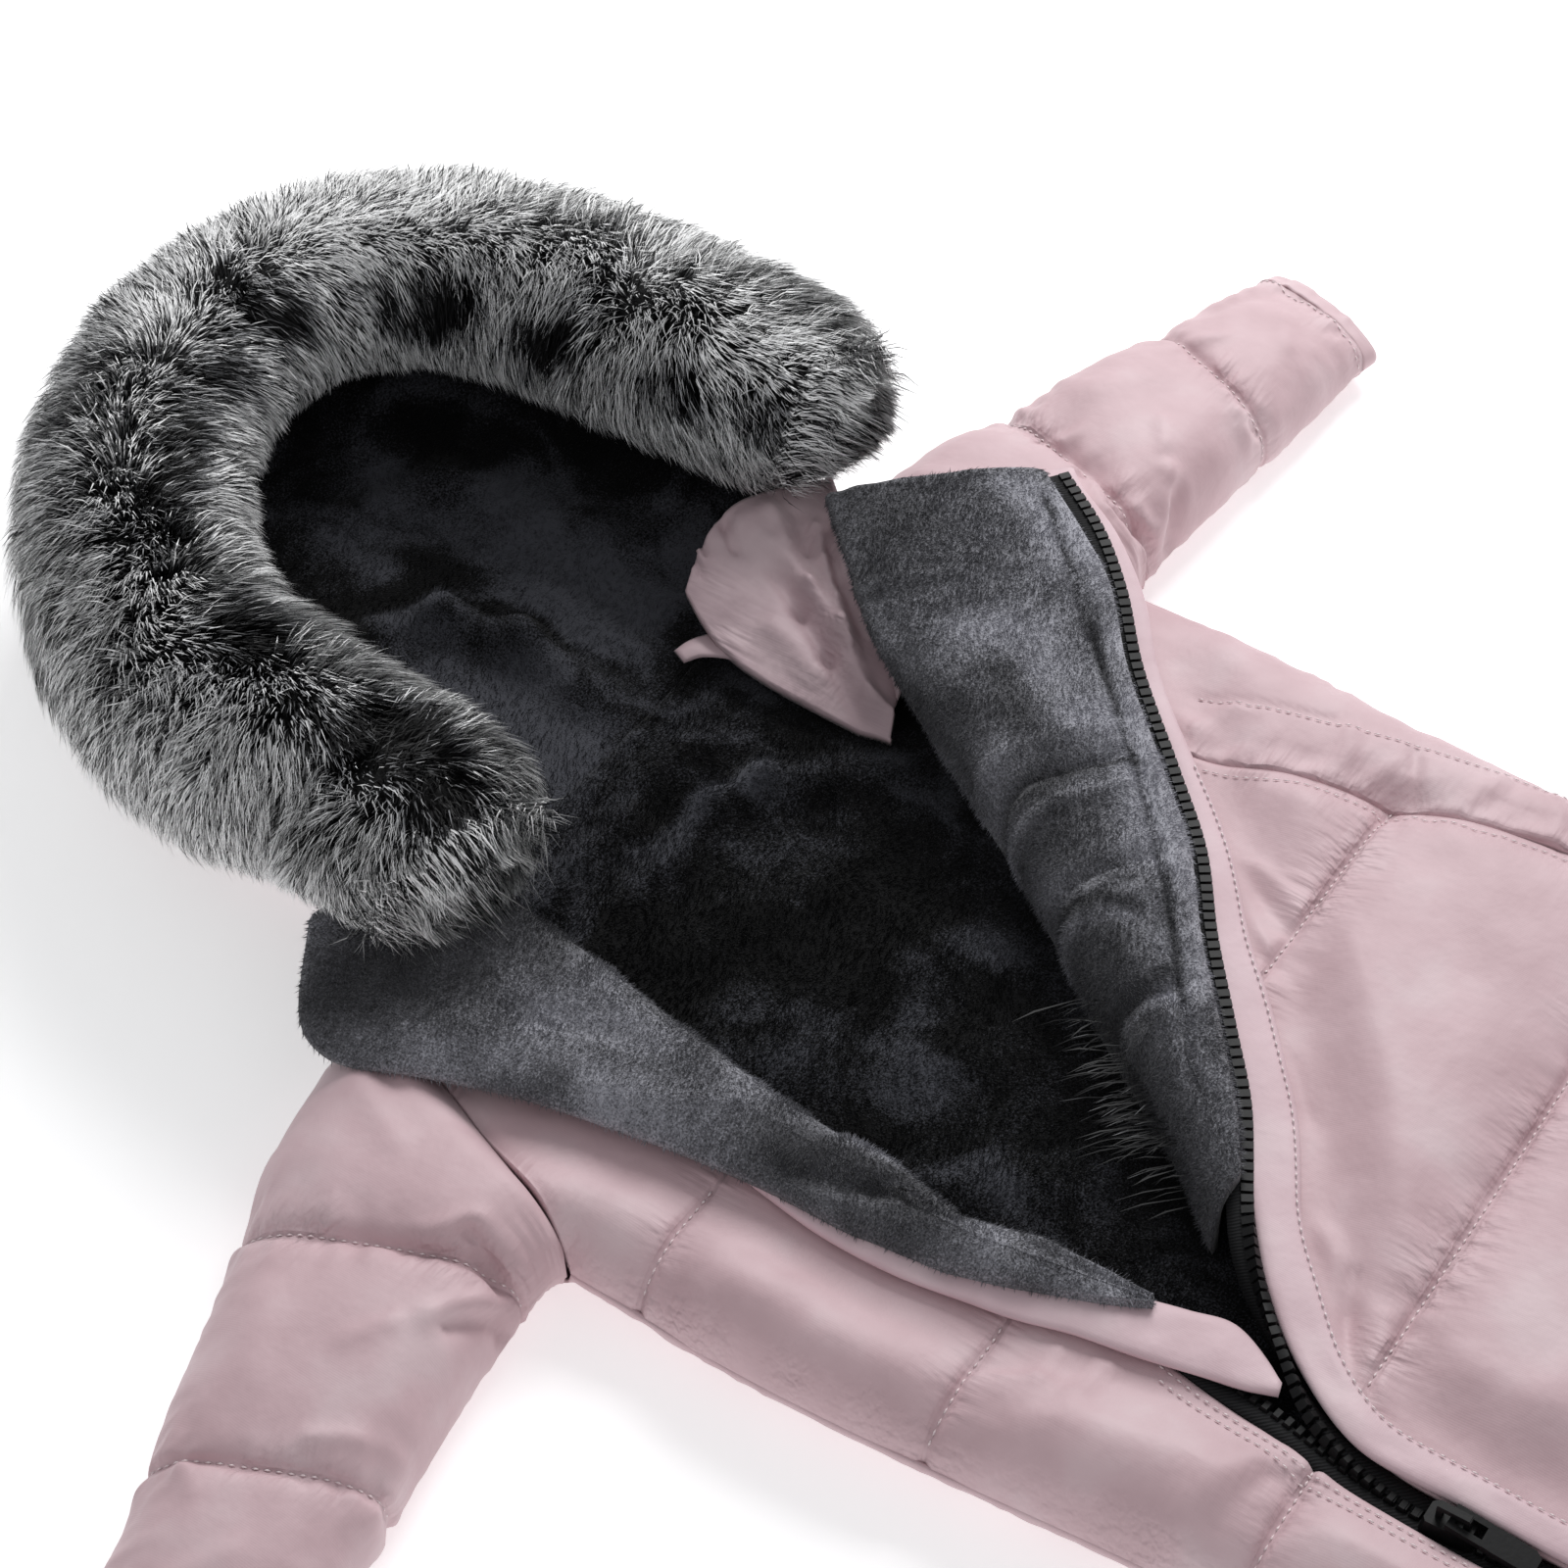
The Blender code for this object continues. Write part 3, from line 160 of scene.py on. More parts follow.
# columns: fold x, fold y, fold's lower edge z, outer edge x, outer edge y, base, top
RIGHT_FACING = (
    (-78, 113, 44.0, -122, 134, 44.0, 51.5), (-80, 100, 38.0, -154, 113, 44.0, 51.5),
    (-80, 88, 24.0, -162, 98, 44.0, 51.5), (-83, 66, 17.5, -152, 68, 43.0, 51.0),
    (-86, 43, 17.5, -142, 42, 41.0, 50.0), (-92, 14, 17.5, -135, 12, 39.2, 49.0),
    (-97, -13, 17.5, -131, -15, 39.0, 48.5), (-100, -38, 17.5, -129, -42, 39.0, 48.0),
    (-101, -66, 17.5, -129, -72, 39.0, 48.0), (-106, -93, 18.0, -126, -99, 39.0, 47.0),
    (-104, -125, 39.2, -119, -124, 39.0, 46.0), (-102, -145, 39.3, -110, -147, 39.0, 43.2),
    (-101, -156, 39.3, -104, -158, 39.0, 41.0),
)
# columns: outer x, outer y, inner x, inner y
RIGHT_BAND = (
    (-127, -29, -122, -30), (-133, -66, -124, -66), (-133, -89, -122, -90), (-130, -111, -115, -110),
    (-128, -124, -110, -126), (-123, -143, -103, -146), (-120, -162, -98, -166),
    (-116, -180, -95, -181), (-113, -194, -101, -194), (-110, -202, -106, -201),
)
BAND_Z = 36.2
BAND_WALL = 2.5

RIM = (
    (-88, 124), (-84, 145), (-83, 175), (-75, 215), (-52, 258), (-12, 293), (35, 314),
    (80, 317), (120, 301), (144, 268), (154, 222), (154, 178), (151, 145), (146, 121),
)
RIM_Z = 28.0
HOOD_BOWL = 58.0
HOOD_WALL = 10.0
CROWN_FROM, CROWN_TO = 0.40, 0.60
HOOD_SEAMS = (0.0, 0.34, 0.66, 1.0)
HOOD_WIDE = 240
HOOD_ROWS, HOOD_COLUMNS, BOWL_COLUMNS = 66, 34, 88
FUR_PATH = (
    (-97, 86), (-88, 122), (-83, 172), (-75, 215), (-52, 258), (-12, 295), (35, 317),
    (80, 320), (121, 303), (146, 268), (155, 222), (155, 178), (153, 140), (152, 106),
)
# columns: share of the path, reach inwards, reach outwards, lowest z inside, outside, top z
FUR = (
    (0.00, 20, 24, 57.0, 57.0, 76), (0.02, 39, 38, 53.0, 53.0, 88), (0.06, 48, 47, 52.5, 52.5, 97),
    (0.10, 47, 45, 50.5, 46.0, 97), (0.15, 49, 44, 46.0, 28.0, 99), (0.25, 47, 42, 43.5, 15.0, 100),
    (0.40, 46, 42, 43.5, 12.0, 100), (0.55, 47, 43, 43.5, 12.0, 100), (0.70, 49, 45, 43.5, 14.0, 101),
    (0.84, 51, 48, 43.5, 18.0, 100), (0.93, 49, 45, 45.0, 36.0, 98), (0.98, 40, 36, 46.0, 46.0, 90),
    (1.00, 22, 20, 52.0, 52.0, 80),
)
# columns: side (1 outwards, -1 inwards), share of that side's reach, share of its height
FUR_SECTION = (
    (1, 0.05, 0.20), (1, 0.28, 0.00), (1, 0.62, 0.06), (1, 0.88, 0.25), (1, 1.00, 0.50),
    (1, 0.90, 0.76), (1, 0.60, 0.93), (1, 0.15, 1.00), (-1, 0.30, 0.98), (-1, 0.70, 0.85),
    (-1, 0.95, 0.60), (-1, 0.97, 0.35), (-1, 0.78, 0.12), (-1, 0.40, 0.00), (1, 0.04, 0.02),
)

# columns: overarm x, overarm y, underarm x, underarm y, top z, seam z, right sleeve's shift down
SLEEVE = (
    (128.5, 104, 172.5, 1, 36, 17, 0), (143, 105, 174, 2, 42, 17, 0),
    (160, 105, 177, 3, 44, 17, 0), (193, 99, 183, 4, 44, 16.5, 1), (212, 92, 187, 5, 41, 16, 2),
    (222, 88.5, 190, 5, 36.5, 16, 2), (232, 86.5, 199, 5, 39.5, 15.5, 3), (252, 81, 219, 4, 41, 15, 4),
    (276, 74, 246, 2, 39, 14.5, 6), (290, 69, 260, 1, 36, 14, 7), (298, 66.5, 268, 0, 32, 13.5, 7),
    (306, 64.5, 277, -1, 33.5, 13, 8), (325, 60, 303, -3, 33, 12.5, 8), (344, 55, 325, -4, 29, 12, 8),
    (356, 52, 337, -5, 24, 11.5, 8),
)
SLEEVE_QUILTS = (5, 10)
CUFF_LENGTH = 8.0
CUFF_DROP = 2.5

# columns: left x, left y, left z, right x, right y, right z
NECK_GUARD = (
    (65, 36, 21, 78, 41, 26), (63, 50, 22, 87, 51, 31), (62, 66, 24, 97, 66, 35),
    (62, 83, 26, 108, 81, 37.5), (64, 100, 28, 122, 94, 39), (70, 116, 32, 135, 104, 42),
    (76, 126, 35, 143, 112, 43),
)
LINING_END_Y = -226.0
LINING_UNDER = 16.0
LINING_ROWS, LINING_COLUMNS = 104, 66

# ---------------------------------------------------------------- folds and creases

# columns of every folds and creases table: x, y, x, y, height (a trough is below 0), half width
LINING_FOLDS = (
    (-18, 68, 8, 72, 5.5, 7), (8, 72, 28, 62, 6.0, 7), (28, 62, 62, 24, 5.0, 9), (-54, 94, -10, 92, 4.5, 7),
    (-3, 104, 34, 90, 4.0, 8), (-64, 70, -30, 74, 3.0, 8), (-70, -20, -36, -58, 3.0, 10),
    (-88, -70, -60, -112, 2.5, 9), (-40, 40, -2, 22, 2.5, 12), (-20, -10, 12, -40, 2.2, 12),
    (-84, 20, -62, -10, 2.0, 9), (0, 84, 22, 76, -3.0, 6), (-40, 82, -16, 82, -2.5, 6),
)
HOOD_FOLDS = (
    (18, 216, 34, 200, 7.0, 9), (34, 200, 39, 168, 9.0, 9), (39, 168, 34, 132, 8.0, 10),
    (-25, 150, -10, 220, 6.0, 16), (95, 240, 105, 170, 4.0, 12), (60, 140, 66, 178, 3.0, 9),
    (60, 262, 92, 248, 4.0, 10), (-58, 160, -52, 200, 4.0, 9),
)
FRONT_LEFT_CREASES = (
    (-60, -184, -80, -199, -3.4, 3.2), (-50, -186, -66, -204, 1.6, 3.6), (-60, -200, -91, -213, -3.0, 3.0),
    (-70, -214, -96, -226, 1.5, 4.5), (58, -92, 40, -119, 1.5, 3.0), (64, -97, 51, -120, -1.3, 3.0),
    (70, -100, 60, -121, 1.1, 3.0), (34, -112, 26, -122, -1.6, 2.6), (2, -146, -14, -160, -1.4, 4.0),
    (66, 6, 92, -8, 1.2, 6.0), (60, -46, 96, -60, 1.0, 8.0), (96, -150, 60, -176, -1.0, 9.0),
    (-88, -262, -40, -280, 1.2, 9.0), (-98, -300, -60, -304, -1.3, 5.0), (110, -250, 60, -262, 1.0, 10.0),
    (20, -360, 90, -378, 1.1, 10.0), (-96, -350, -66, -366, 1.3, 4.5), (-92, -398, -70, -408, -1.4, 4.0),
    (118, -340, 92, -352, -1.2, 5.0), (-70, -430, -20, -452, 1.2, 8.0), (40, -440, 92, -462, -1.2, 6.0),
)
FRONT_RIGHT_CREASES = (
    (-152, -126, -141, -142, 1.5, 2.6), (-141, -142, -124, -140, 1.2, 2.8),
    (-157, -137, -144, -153, -1.3, 2.6), (-144, -153, -122, -155, 1.6, 3.0),
    (-166, -46, -150, -70, 1.1, 6.0), (-150, 60, -124, 40, 1.0, 7.0), (-160, -196, -132, -206, 1.2, 4.0),
    (-158, -206, -134, -212, -1.2, 3.0), (-158, -284, -136, -300, 1.3, 4.0),
    (-156, -344, -134, -352, -1.4, 3.4), (-154, -380, -132, -392, 1.2, 4.5),
    (-146, -436, -122, -444, 1.3, 4.0),
)
SIDE_LEFT_CREASES = (
    (112, -52, 128, -60, 1.6, 2.6), (120, -104, 138, -98, 1.8, 2.8), (124, -128, 142, -120, -1.6, 2.4),
    (126, -144, 146, -150, 1.9, 2.6), (130, -176, 148, -168, 1.7, 3.0), (130, -190, 147, -198, -1.6, 2.4),
    (112, 10, 130, 18, 1.4, 4.0), (130, -236, 148, -246, 1.6, 3.4), (130, -282, 148, -276, -1.4, 3.0),
    (128, -330, 148, -340, 1.7, 3.2), (124, -384, 146, -378, 1.4, 3.4), (120, -430, 140, -440, -1.4, 3.0),
    (112, -56, 116, -30, 1.6, 5.0), (127, -46, 141, -97, -1.0, 1.4), (141, -97, 147, -140, -0.8, 1.4),
)
SLEEVE_CREASES = (
    (194, 8, 190, 22, -3.6, 3.2), (200, 2, 217, 10, -3.4, 2.8), (203, 8, 220, 16, 2.2, 3.2),
    (186, 22, 196, 34, 1.8, 3.2), (164, 84, 176, 60, 1.5, 5.0), (150, 92, 158, 74, -1.6, 4.0),
    (240, 60, 262, 46, 1.1, 7.0), (228, 22, 240, 30, 1.5, 3.0), (286, 54, 300, 38, 1.2, 3.2),
    (310, 16, 326, 26, 1.2, 4.0), (270, 20, 262, 8, 1.6, 3.0), (316, 50, 336, 40, -1.0, 5.0),
)
BACK_CREASES = (
    (-150, -60, -110, -64, 1.2, 4.0), (150, -150, 116, -158, 1.2, 4.0), (-148, -250, -116, -244, 1.0, 4.0),
    (146, -330, 112, -322, 1.2, 4.0), (-146, -410, -110, -404, 1.0, 4.0), (60, 40, 100, 60, 1.0, 6.0),
)
# columns: x, y, depth of the groove from here to the next point
LAPEL_SEAM_LINE = (
    (168, 37, -3.8), (120, -9, -3.8), (83, -45, -3.6), (39, -82, -2.2), (-4, -112, -1.8), (-30, -131, 0),
)
LAPEL_SEAM = tuple((*a, *b[:2], deep, 1.9) for (*a, deep), b in zip(LAPEL_SEAM_LINE, LAPEL_SEAM_LINE[1:]))
# Paler and darker marks on the facings' plush: partly nap that lies one way or the other, partly painted
# shade along the lapel's seam, in its cross creases and in the right facing's trough, and painted highlight
# where the lapel's middle turns to the light.
# columns: x, y, x, y, paler (darker is below 0), half width
FACING_NAP_AND_PAINTED_LIGHT = tuple((*line[:4], -0.20, 1.3) for line in LAPEL_SEAM[:4]) + (
    (10, -95, -36, -132, 0.06, 14), (-118, -60, -108, -120, 0.06, 10), (60, -20, 96, 0, 0.07, 14),
    (176, 33, 125, -17, 0.07, 5), (125, -17, 60, -75, 0.08, 5),
    (36, -20, 59, -33, -0.24, 2.2), (59, -33, 79, -49, -0.20, 1.8), (30, -28, 56, -42, 0.12, 4),
    (11, -61, 18, -70, -0.22, 2.2), (18, -70, 21, -82, -0.18, 2.0), (6, -66, 14, -80, 0.10, 4),
    (-14, -95, 5, -102, -0.20, 2.2), (-18, -101, 0, -110, 0.08, 3),
    (150, 20, 128, -6, 0.10, 22), (112, 14, 86, -22, 0.09, 16), (96, -42, 52, -80, 0.16, 14),
    (70, -66, 20, -110, 0.10, 10), (134, 92, 112, 70, -0.05, 22), (86, 6, 74, -8, -0.16, 7),
    (48, -30, 30, -52, -0.14, 9), (14, -66, -4, -90, -0.14, 10), (-20, -104, -44, -134, -0.12, 9),
    (-112, 60, -104, 10, 0.10, 9), (-150, 104, -128, 80, -0.08, 20), (-134, 40, -126, 0, 0.06, 10),
    (-118, -40, -106, -90, -0.16, 8), (-100, -50, -103, -90, 0.12, 5), (-124, -96, -110, -130, 0.04, 8),
)
# Paler and darker marks on the lining's and the hood's plush: partly nap, partly painted highlight on the
# hood's lit side and on the ridges of the folds, and painted shade between ridges and in the hollows.
LINING_NAP_AND_PAINTED_LIGHT = (
    (92, 214, 76, 152, 0.17, 19), (60, 186, 58, 146, 0.13, 13), (84, 264, 42, 232, 0.10, 10),
    (15, 200, 8, 126, 0.17, 19), (44, 214, 47, 140, -0.10, 6),
    (-18, 70, 8, 74, 0.16, 6), (8, 74, 28, 64, 0.18, 6), (28, 64, 58, 30, 0.10, 8),
    (-54, 96, -10, 94, 0.10, 7), (-66, 110, -40, 132, 0.16, 22), (-40, 110, 10, 118, 0.06, 16),
    (20, 212, 36, 198, 0.10, 10), (38, 196, 40, 150, 0.14, 12), (84, 262, 56, 246, 0.12, 16),
    (70, 160, 100, 150, 0.10, 22),
    (-70, -30, -56, -60, 0.10, 9), (-84, -60, -74, -90, 0.10, 8), (-10, -20, 6, -40, 0.08, 9),
    (-52, -6, -30, -30, 0.06, 10), (-40, 40, 30, -10, -0.10, 30), (10, 240, 40, 180, -0.10, 20),
)
# columns: x, y, z
WISP_LINE = ((-8, -86, 38), (-30, -116, 36), (-46, -139, 34), (-58, -151, 33))
GUARD_CREASES = (
    (106, 105, 98, 90, 2.2, 4.0), (98, 90, 88, 71, 2.8, 4.4), (88, 71, 71, 48, 2.4, 4.0),
    (98, 101, 90, 87, -2.2, 3.6), (90, 87, 79, 69, -2.4, 3.6), (79, 69, 65, 47, -1.8, 3.2),
    (104, 118, 98, 113, -2.6, 2.0), (100, 115, 116, 111, 1.4, 3.0), (100, 129, 91, 121, -1.8, 1.8),
    (96, 129, 88, 121, 1.6, 2.0), (90, 127, 84, 120, -1.4, 1.8), (123, 107, 112, 99, -1.8, 1.8),
    (120, 112, 110, 104, 1.5, 2.0), (123, 101, 112, 92, 1.8, 2.0), (112, 92, 98, 78, 2.0, 2.2),
    (98, 78, 85, 64, 1.8, 2.2), (118, 94, 106, 82, -2.2, 1.8), (106, 82, 92, 64, -1.8, 1.8),
    (73, 50, 71, 36, 1.4, 2.4), (78, 92, 70, 70, 1.6, 5.0), (72, 112, 84, 108, 1.2, 4.0),
)
# columns: x, y, z
GUARD_TAB = ((74, 96, 26.0), (69, 106, 26.2), (63, 113, 25.6), (57, 116, 24.8))
# columns: share of the way up the lapel, height
LAPEL_CROSS_CREASES = (
    (0.535, -5.0), (0.575, 2.6), (0.49, 2.2), (0.40, -3.6), (0.36, 1.8), (0.25, -4.6), (0.21, 2.2),
    (0.86, 1.4),
)
FACING_TROUGH = ((-124, -44, -116, -70, -3.2, 4.0), (-116, -70, -109, -94, -2.6, 3.4))
FACING_CREASES = (
    (-150, 96, -132, 60, 1.6, 6.0), (-120, 60, -108, 20, -1.6, 5.0), (-126, 8, -112, -16, 1.6, 4.0),
    (-140, 108, -112, 104, -1.4, 5.0),
)


# ---------------------------------------------------------------- small tools


def ease(value):
    value = np.clip(value, 0, 1)
    return value * value * (3 - 2 * value)


def smooth(rows, at):
    """The value columns of a table at positions along its first column, on a smooth curve."""
    rows = np.asarray(rows, float)
    rows = rows[np.argsort(rows[:, 0], kind="stable")]
    knots, values = rows[:, 0], rows[:, 1:]
    slopes = np.gradient(values, knots, axis=0)
    at = np.clip(np.asarray(at, float), knots[0], knots[-1])
    i = np.clip(np.searchsorted(knots, at, side="right") - 1, 0, len(knots) - 2)
    span = (knots[i + 1] - knots[i])[..., None]
    f = (at - knots[i])[..., None] / span
    near = (1 + 2 * f) * (1 - f) ** 2 * values[i] + f * (1 - f) ** 2 * span * slopes[i]
    far = f * f * (3 - 2 * f) * values[i + 1] - f * f * (1 - f) * span * slopes[i + 1]
    return near + far


def column(rows, at):
    return smooth(rows, at)[..., 0]


def unit(vectors):
    """The vectors, each made 1 long."""
    return vectors / np.maximum(np.linalg.norm(vectors, axis=-1), 1e-9)[..., None]


def way_along(points):
    """The distance along a path to each of its points."""
    return np.concatenate([[0], np.cumsum(np.linalg.norm(np.diff(points, axis=0), axis=1))])


def way_shares(points):
    """How far along a path each of its points is in plan, from 0 to 1."""
    way = way_along(np.asarray(points, float)[:, :2])
    return way / way[-1]


def along(points, shares):
    """Points at shares of the way along a smooth path through the given ones."""
    return smooth(np.column_stack([way_shares(points), np.asarray(points, float)]), shares)


def side_normals(plan):
    """Unit vectors to the left of the way along a plan path."""
    way = unit(np.gradient(plan[:, :2], axis=0))
    return np.column_stack([-way[:, 1], way[:, 0]])


def distance_to(path, x, y):
    """How far each plan point is from a polyline; many points are taken in parts, to save memory."""
    path = np.asarray(path, float)[:, :2]
    start, step = path[:-1], np.diff(path, axis=0)
    spots = np.stack([np.ravel(x), np.ravel(y)], axis=1)
    gaps = []
    for spot in np.array_split(spots, max(1, len(spots) * len(path) // 2_000_000)):
        share = ((spot[:, None] - start) * step).sum(2) / (step * step).sum(1)
        offset = spot[:, None] - (start + np.clip(share, 0, 1)[..., None] * step)
        gaps.append(np.linalg.norm(offset, axis=2).min(1))
    return np.concatenate(gaps).reshape(np.shape(x))


def inside(polygon, x, y):
    """Which plan points lie inside a closed outline."""
    x0, y0 = np.asarray(polygon, float).T
    x1, y1 = np.roll(x0, -1), np.roll(y0, -1)
    px, py = np.ravel(x)[:, None], np.ravel(y)[:, None]
    spans = (y0 > py) != (y1 > py)
    crossing = x0 + (py - y0) * (x1 - x0) / np.where(y1 == y0, 1.0, y1 - y0)
    return ((spans & (px < crossing)).sum(1) % 2 == 1).reshape(np.shape(x))


def soft_noise(u, v, seed):
    """Smooth bumps between -1 and 1, about one to each unit of u and v."""
    lattice = np.random.default_rng(seed).uniform(-1, 1, (LATTICE, LATTICE))
    i, j = np.floor(u).astype(int), np.floor(v).astype(int)
    f, g = ease(u - i), ease(v - j)
    i, j = i % LATTICE, j % LATTICE
    n, m = (i + 1) % LATTICE, (j + 1) % LATTICE
    near = lattice[i, j] * (1 - f) + lattice[n, j] * f
    far = lattice[i, m] * (1 - f) + lattice[n, m] * f
    return near * (1 - g) + far * g


def uneven(x, y, seed, *layers):
    """Soft bumps in layers, each with its height and its reach in x and y, in millimetres."""
    bumps = 0
    for number, (tall, wide, deep) in enumerate(layers):
        bumps = bumps + tall * soft_noise(x / wide, y / deep, seed + number)
    return bumps


def billows(x, y, seed):
    """Soft uneven filling under the cloth, in millimetres."""
    return uneven(x, y, seed, (0.9, 42, 36), (0.35, 17, 15))


def puckers(away, way, seed, tall=1.1, reach=3.2):
    """Short gathers across a line of stitches: nothing on the line, tallest beside it, fading out."""
    near = np.abs(away) / reach
    patchy = 0.6 + 0.4 * soft_noise(way / 37, 0 * way + seed, seed + 2)
    folds = soft_noise((way + 0.35 * away) / 5.0, np.sign(away) * 1.5 + away / 26, seed)
    fine = soft_noise((way - 0.2 * away) / 3.2, away / 14, seed + 1)
    return 1.35 * tall * near * np.exp(1 - near) * patchy * (folds + 0.5 * fine)


def groove(away, deep=1.6, half=1.7):
    """The valley that a tight thread pulls into padded cloth."""
    return -deep * np.exp(-((away / half) ** 2))


def creases(x, y, table):
    """Ridges and troughs along straight lines, each fading at its ends."""
    height = np.zeros(np.shape(x))
    for x0, y0, x1, y1, tall, reach in table:
        gap = distance_to(((x0, y0), (x1, y1)), x, y)
        height += tall * np.exp(-((gap / reach) ** 2))
    return height


# ---------------------------------------------------------------- meshes


def new_piece(name, points, faces, material, ends=()):
    """One smooth object from points in millimetres, and faces; end faces may have more corners."""
    points = np.asarray(points, np.float32).reshape(-1, 3) * MM
    faces = np.asarray(faces, np.int32)
    ends = np.asarray(ends, np.int32)
    corners = np.concatenate([faces.ravel(), ends.ravel()])
    starts = [np.arange(len(faces)) * faces.shape[1]]
    if len(ends):
        starts.append(faces.size + np.arange(len(ends)) * ends.shape[1])
    starts = np.concatenate(starts).astype(np.int32)
    mesh = bpy.data.meshes.new(name)
    mesh.vertices.add(len(points))
    mesh.vertices.foreach_set("co", points.ravel())
    mesh.loops.add(len(corners))
    mesh.loops.foreach_set("vertex_index", corners)
    mesh.polygons.add(len(starts))
    mesh.polygons.foreach_set("loop_start", starts)
    mesh.update(calc_edges=True)
    mesh.shade_smooth()
    mesh.materials.append(material)
    piece = bpy.data.objects.new(name, mesh)
    bpy.context.scene.collection.objects.link(piece)
    return piece


def repeated(count, size, faces):
    """The faces of one small solid of some points, for a number of such solids."""
    return (np.arange(count)[:, None, None] * size + np.array(faces)).reshape(-1, len(faces[0]))


def plan_of(piece):
    """The x and y of a piece's points, in millimetres."""
    places = np.empty(len(piece.data.vertices) * 3, np.float32)
    piece.data.vertices.foreach_get("co", places)
    return (places.reshape(-1, 3)[:, :2] / MM).T


def stored(piece, name, values):
    """Keeps one number for each point of a piece, for its material to read."""
    kept = piece.data.attributes.new(name, "FLOAT", "POINT")
    kept.data.foreach_set("value", np.asarray(values, np.float32).ravel())


def stored_nap_and_painted_light(piece, table):
    """Stores where the plush is paler or darker: partly its nap lying one way or the other, partly painted
    highlight and painted shade.
    """
    stored(piece, "nap", creases(*plan_of(piece), table))


def frosted(piece, amounts):
    """Stores how white the pile is at each point."""
    stored(piece, "frost", amounts)


def gathered(piece, lines_across, lines_along):
    """Marks the cloth near stitches: distances in millimetres to lines across the garment and down it."""
    x, y = plan_of(piece)
    for name, away, spot in (("gather_along_y", lines_across, x), ("gather_along_x", lines_along, y)):
        patchy = np.clip(0.75 + 0.7 * soft_noise(spot / 13, away / 40, 61), 0.1, 1.3)
        stored(piece, name, patchy * np.exp(-np.abs(away) / 6.5) * (1 - np.exp(-((away / 1.1) ** 2))))


def wear(piece, slot, *nodes):
    """The piece rides on the garment and stands for these solids; its slot is not used."""
    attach(piece, "garment")
    if nodes:
        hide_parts(*nodes)
    return piece


def grid_faces(across, down, ring=False):
    index = np.arange(across * down).reshape(across, down)
    if ring:
        index = np.vstack([index, index[:1]])
    quads = (index[:-1, :-1], index[1:, :-1], index[1:, 1:], index[:-1, 1:])
    return np.stack(quads, axis=-1).reshape(-1, 4)


def grid_normals(grid, ring=False):
    """Unit normals of a grid of points that runs across and then down."""
    if ring:
        closed = np.concatenate([grid[-1:], grid, grid[:1]])
        across = closed[2:] - closed[:-2]
    else:
        across = np.gradient(grid, axis=0)
    return unit(np.cross(across, np.gradient(grid, axis=1)))


def raised(grid, height, ring=False):
    """The grid moved out along its normals."""
    return grid + grid_normals(grid, ring) * height[..., None]


def shell(name, grid, material, ring=False, inward=False, thick=CLOTH):
    """A thin cloth shell: the grid's points outside, its thickness inside them."""
    faces = grid_faces(*grid.shape[:2], ring)
    if inward:
        faces = faces[:, ::-1]
    piece = new_piece(name, grid, faces, material)
    thickness = piece.modifiers.new("cloth_thickness", "SOLIDIFY")
    thickness.thickness = thick * MM
    thickness.offset = -1
    return piece


def spread(low, high, round_low, round_high, pitch=PITCH, busy=()):
    """Positions between two edges, closer together where the cloth rounds over or is stitched."""
    bend = EDGE_RADIUS * (1 - np.cos(np.linspace(0, math.pi / 2, ROUND_STEPS)))
    start = low + bend if round_low else np.array([low])
    end = high - bend[::-1] if round_high else np.array([high])
    fine = np.linspace(start[-1], end[0], 4000)
    crowd = np.ones(len(fine))
    for line in busy:
        crowd += 1.3 * np.exp(-(((fine - line) / 8) ** 2))
    way = np.concatenate([[0], np.cumsum(crowd[1:] * np.diff(fine))]) / pitch
    spots = np.interp(np.linspace(0, way[-1], int(math.ceil(way[-1])) + 1), way, fine)
    return np.concatenate([start[:-1], spots, end[1:]])


# ---------------------------------------------------------------- materials


def linear(colour):
    """An sRGB hex colour as linear red, green, blue and full alpha."""
    parts = [c / 255 for c in bytes.fromhex(colour)]
    return tuple(c / 12.92 if c <= 0.04045 else ((c + 0.055) / 1.055) ** 2.4 for c in parts) + (1.0,)


def add(tree, kind, settings=(), links=(), **fields):
    """One shader node with its fields, its input values and what is linked into it."""
    node = tree.nodes.new(kind)
    for field, value in fields.items():
        setattr(node, field, value)
    for socket, value in dict(settings).items():
        node.inputs[socket].default_value = value
    for socket, source in dict(links).items():
        tree.links.new(source, node.inputs[socket])
    return node


def new_material(name, roughness, colour, **sockets):
    """A named material with its Principled shader's typical values."""
    material = bpy.data.materials.new(name)
    material.use_nodes = True
    tree = material.node_tree
    shader = tree.nodes["Principled BSDF"]
    shader.inputs["Base Color"].default_value = linear(colour)
    shader.inputs["Roughness"].default_value = roughness
    for socket, value in sockets.items():
        shader.inputs[socket.replace("_", " ")].default_value = value
    material.diffuse_color = linear(colour)
    return material, tree, shader


def colour_steps(tree, factor, *stops):
    """A colour ramp over a factor: pairs of position and hex colour."""
    ramp = add(tree, "ShaderNodeValToRGB", links={"Fac": factor})
    bands = ramp.color_ramp.elements
    while len(bands) < len(stops):
        bands.new(0.5)
    for band, (position, colour) in zip(bands, stops):
        band.position = position
        band.color = linear(colour)
    return ramp.outputs["Color"]


def noise(tree, place, scale, detail, **more):
    """A soft uneven pattern, its scale in patches to the metre."""
    settings = {"Scale": scale, "Detail": detail, **more}
    return add(tree, "ShaderNodeTexNoise", settings, {"Vector": place}).outputs["Fac"]


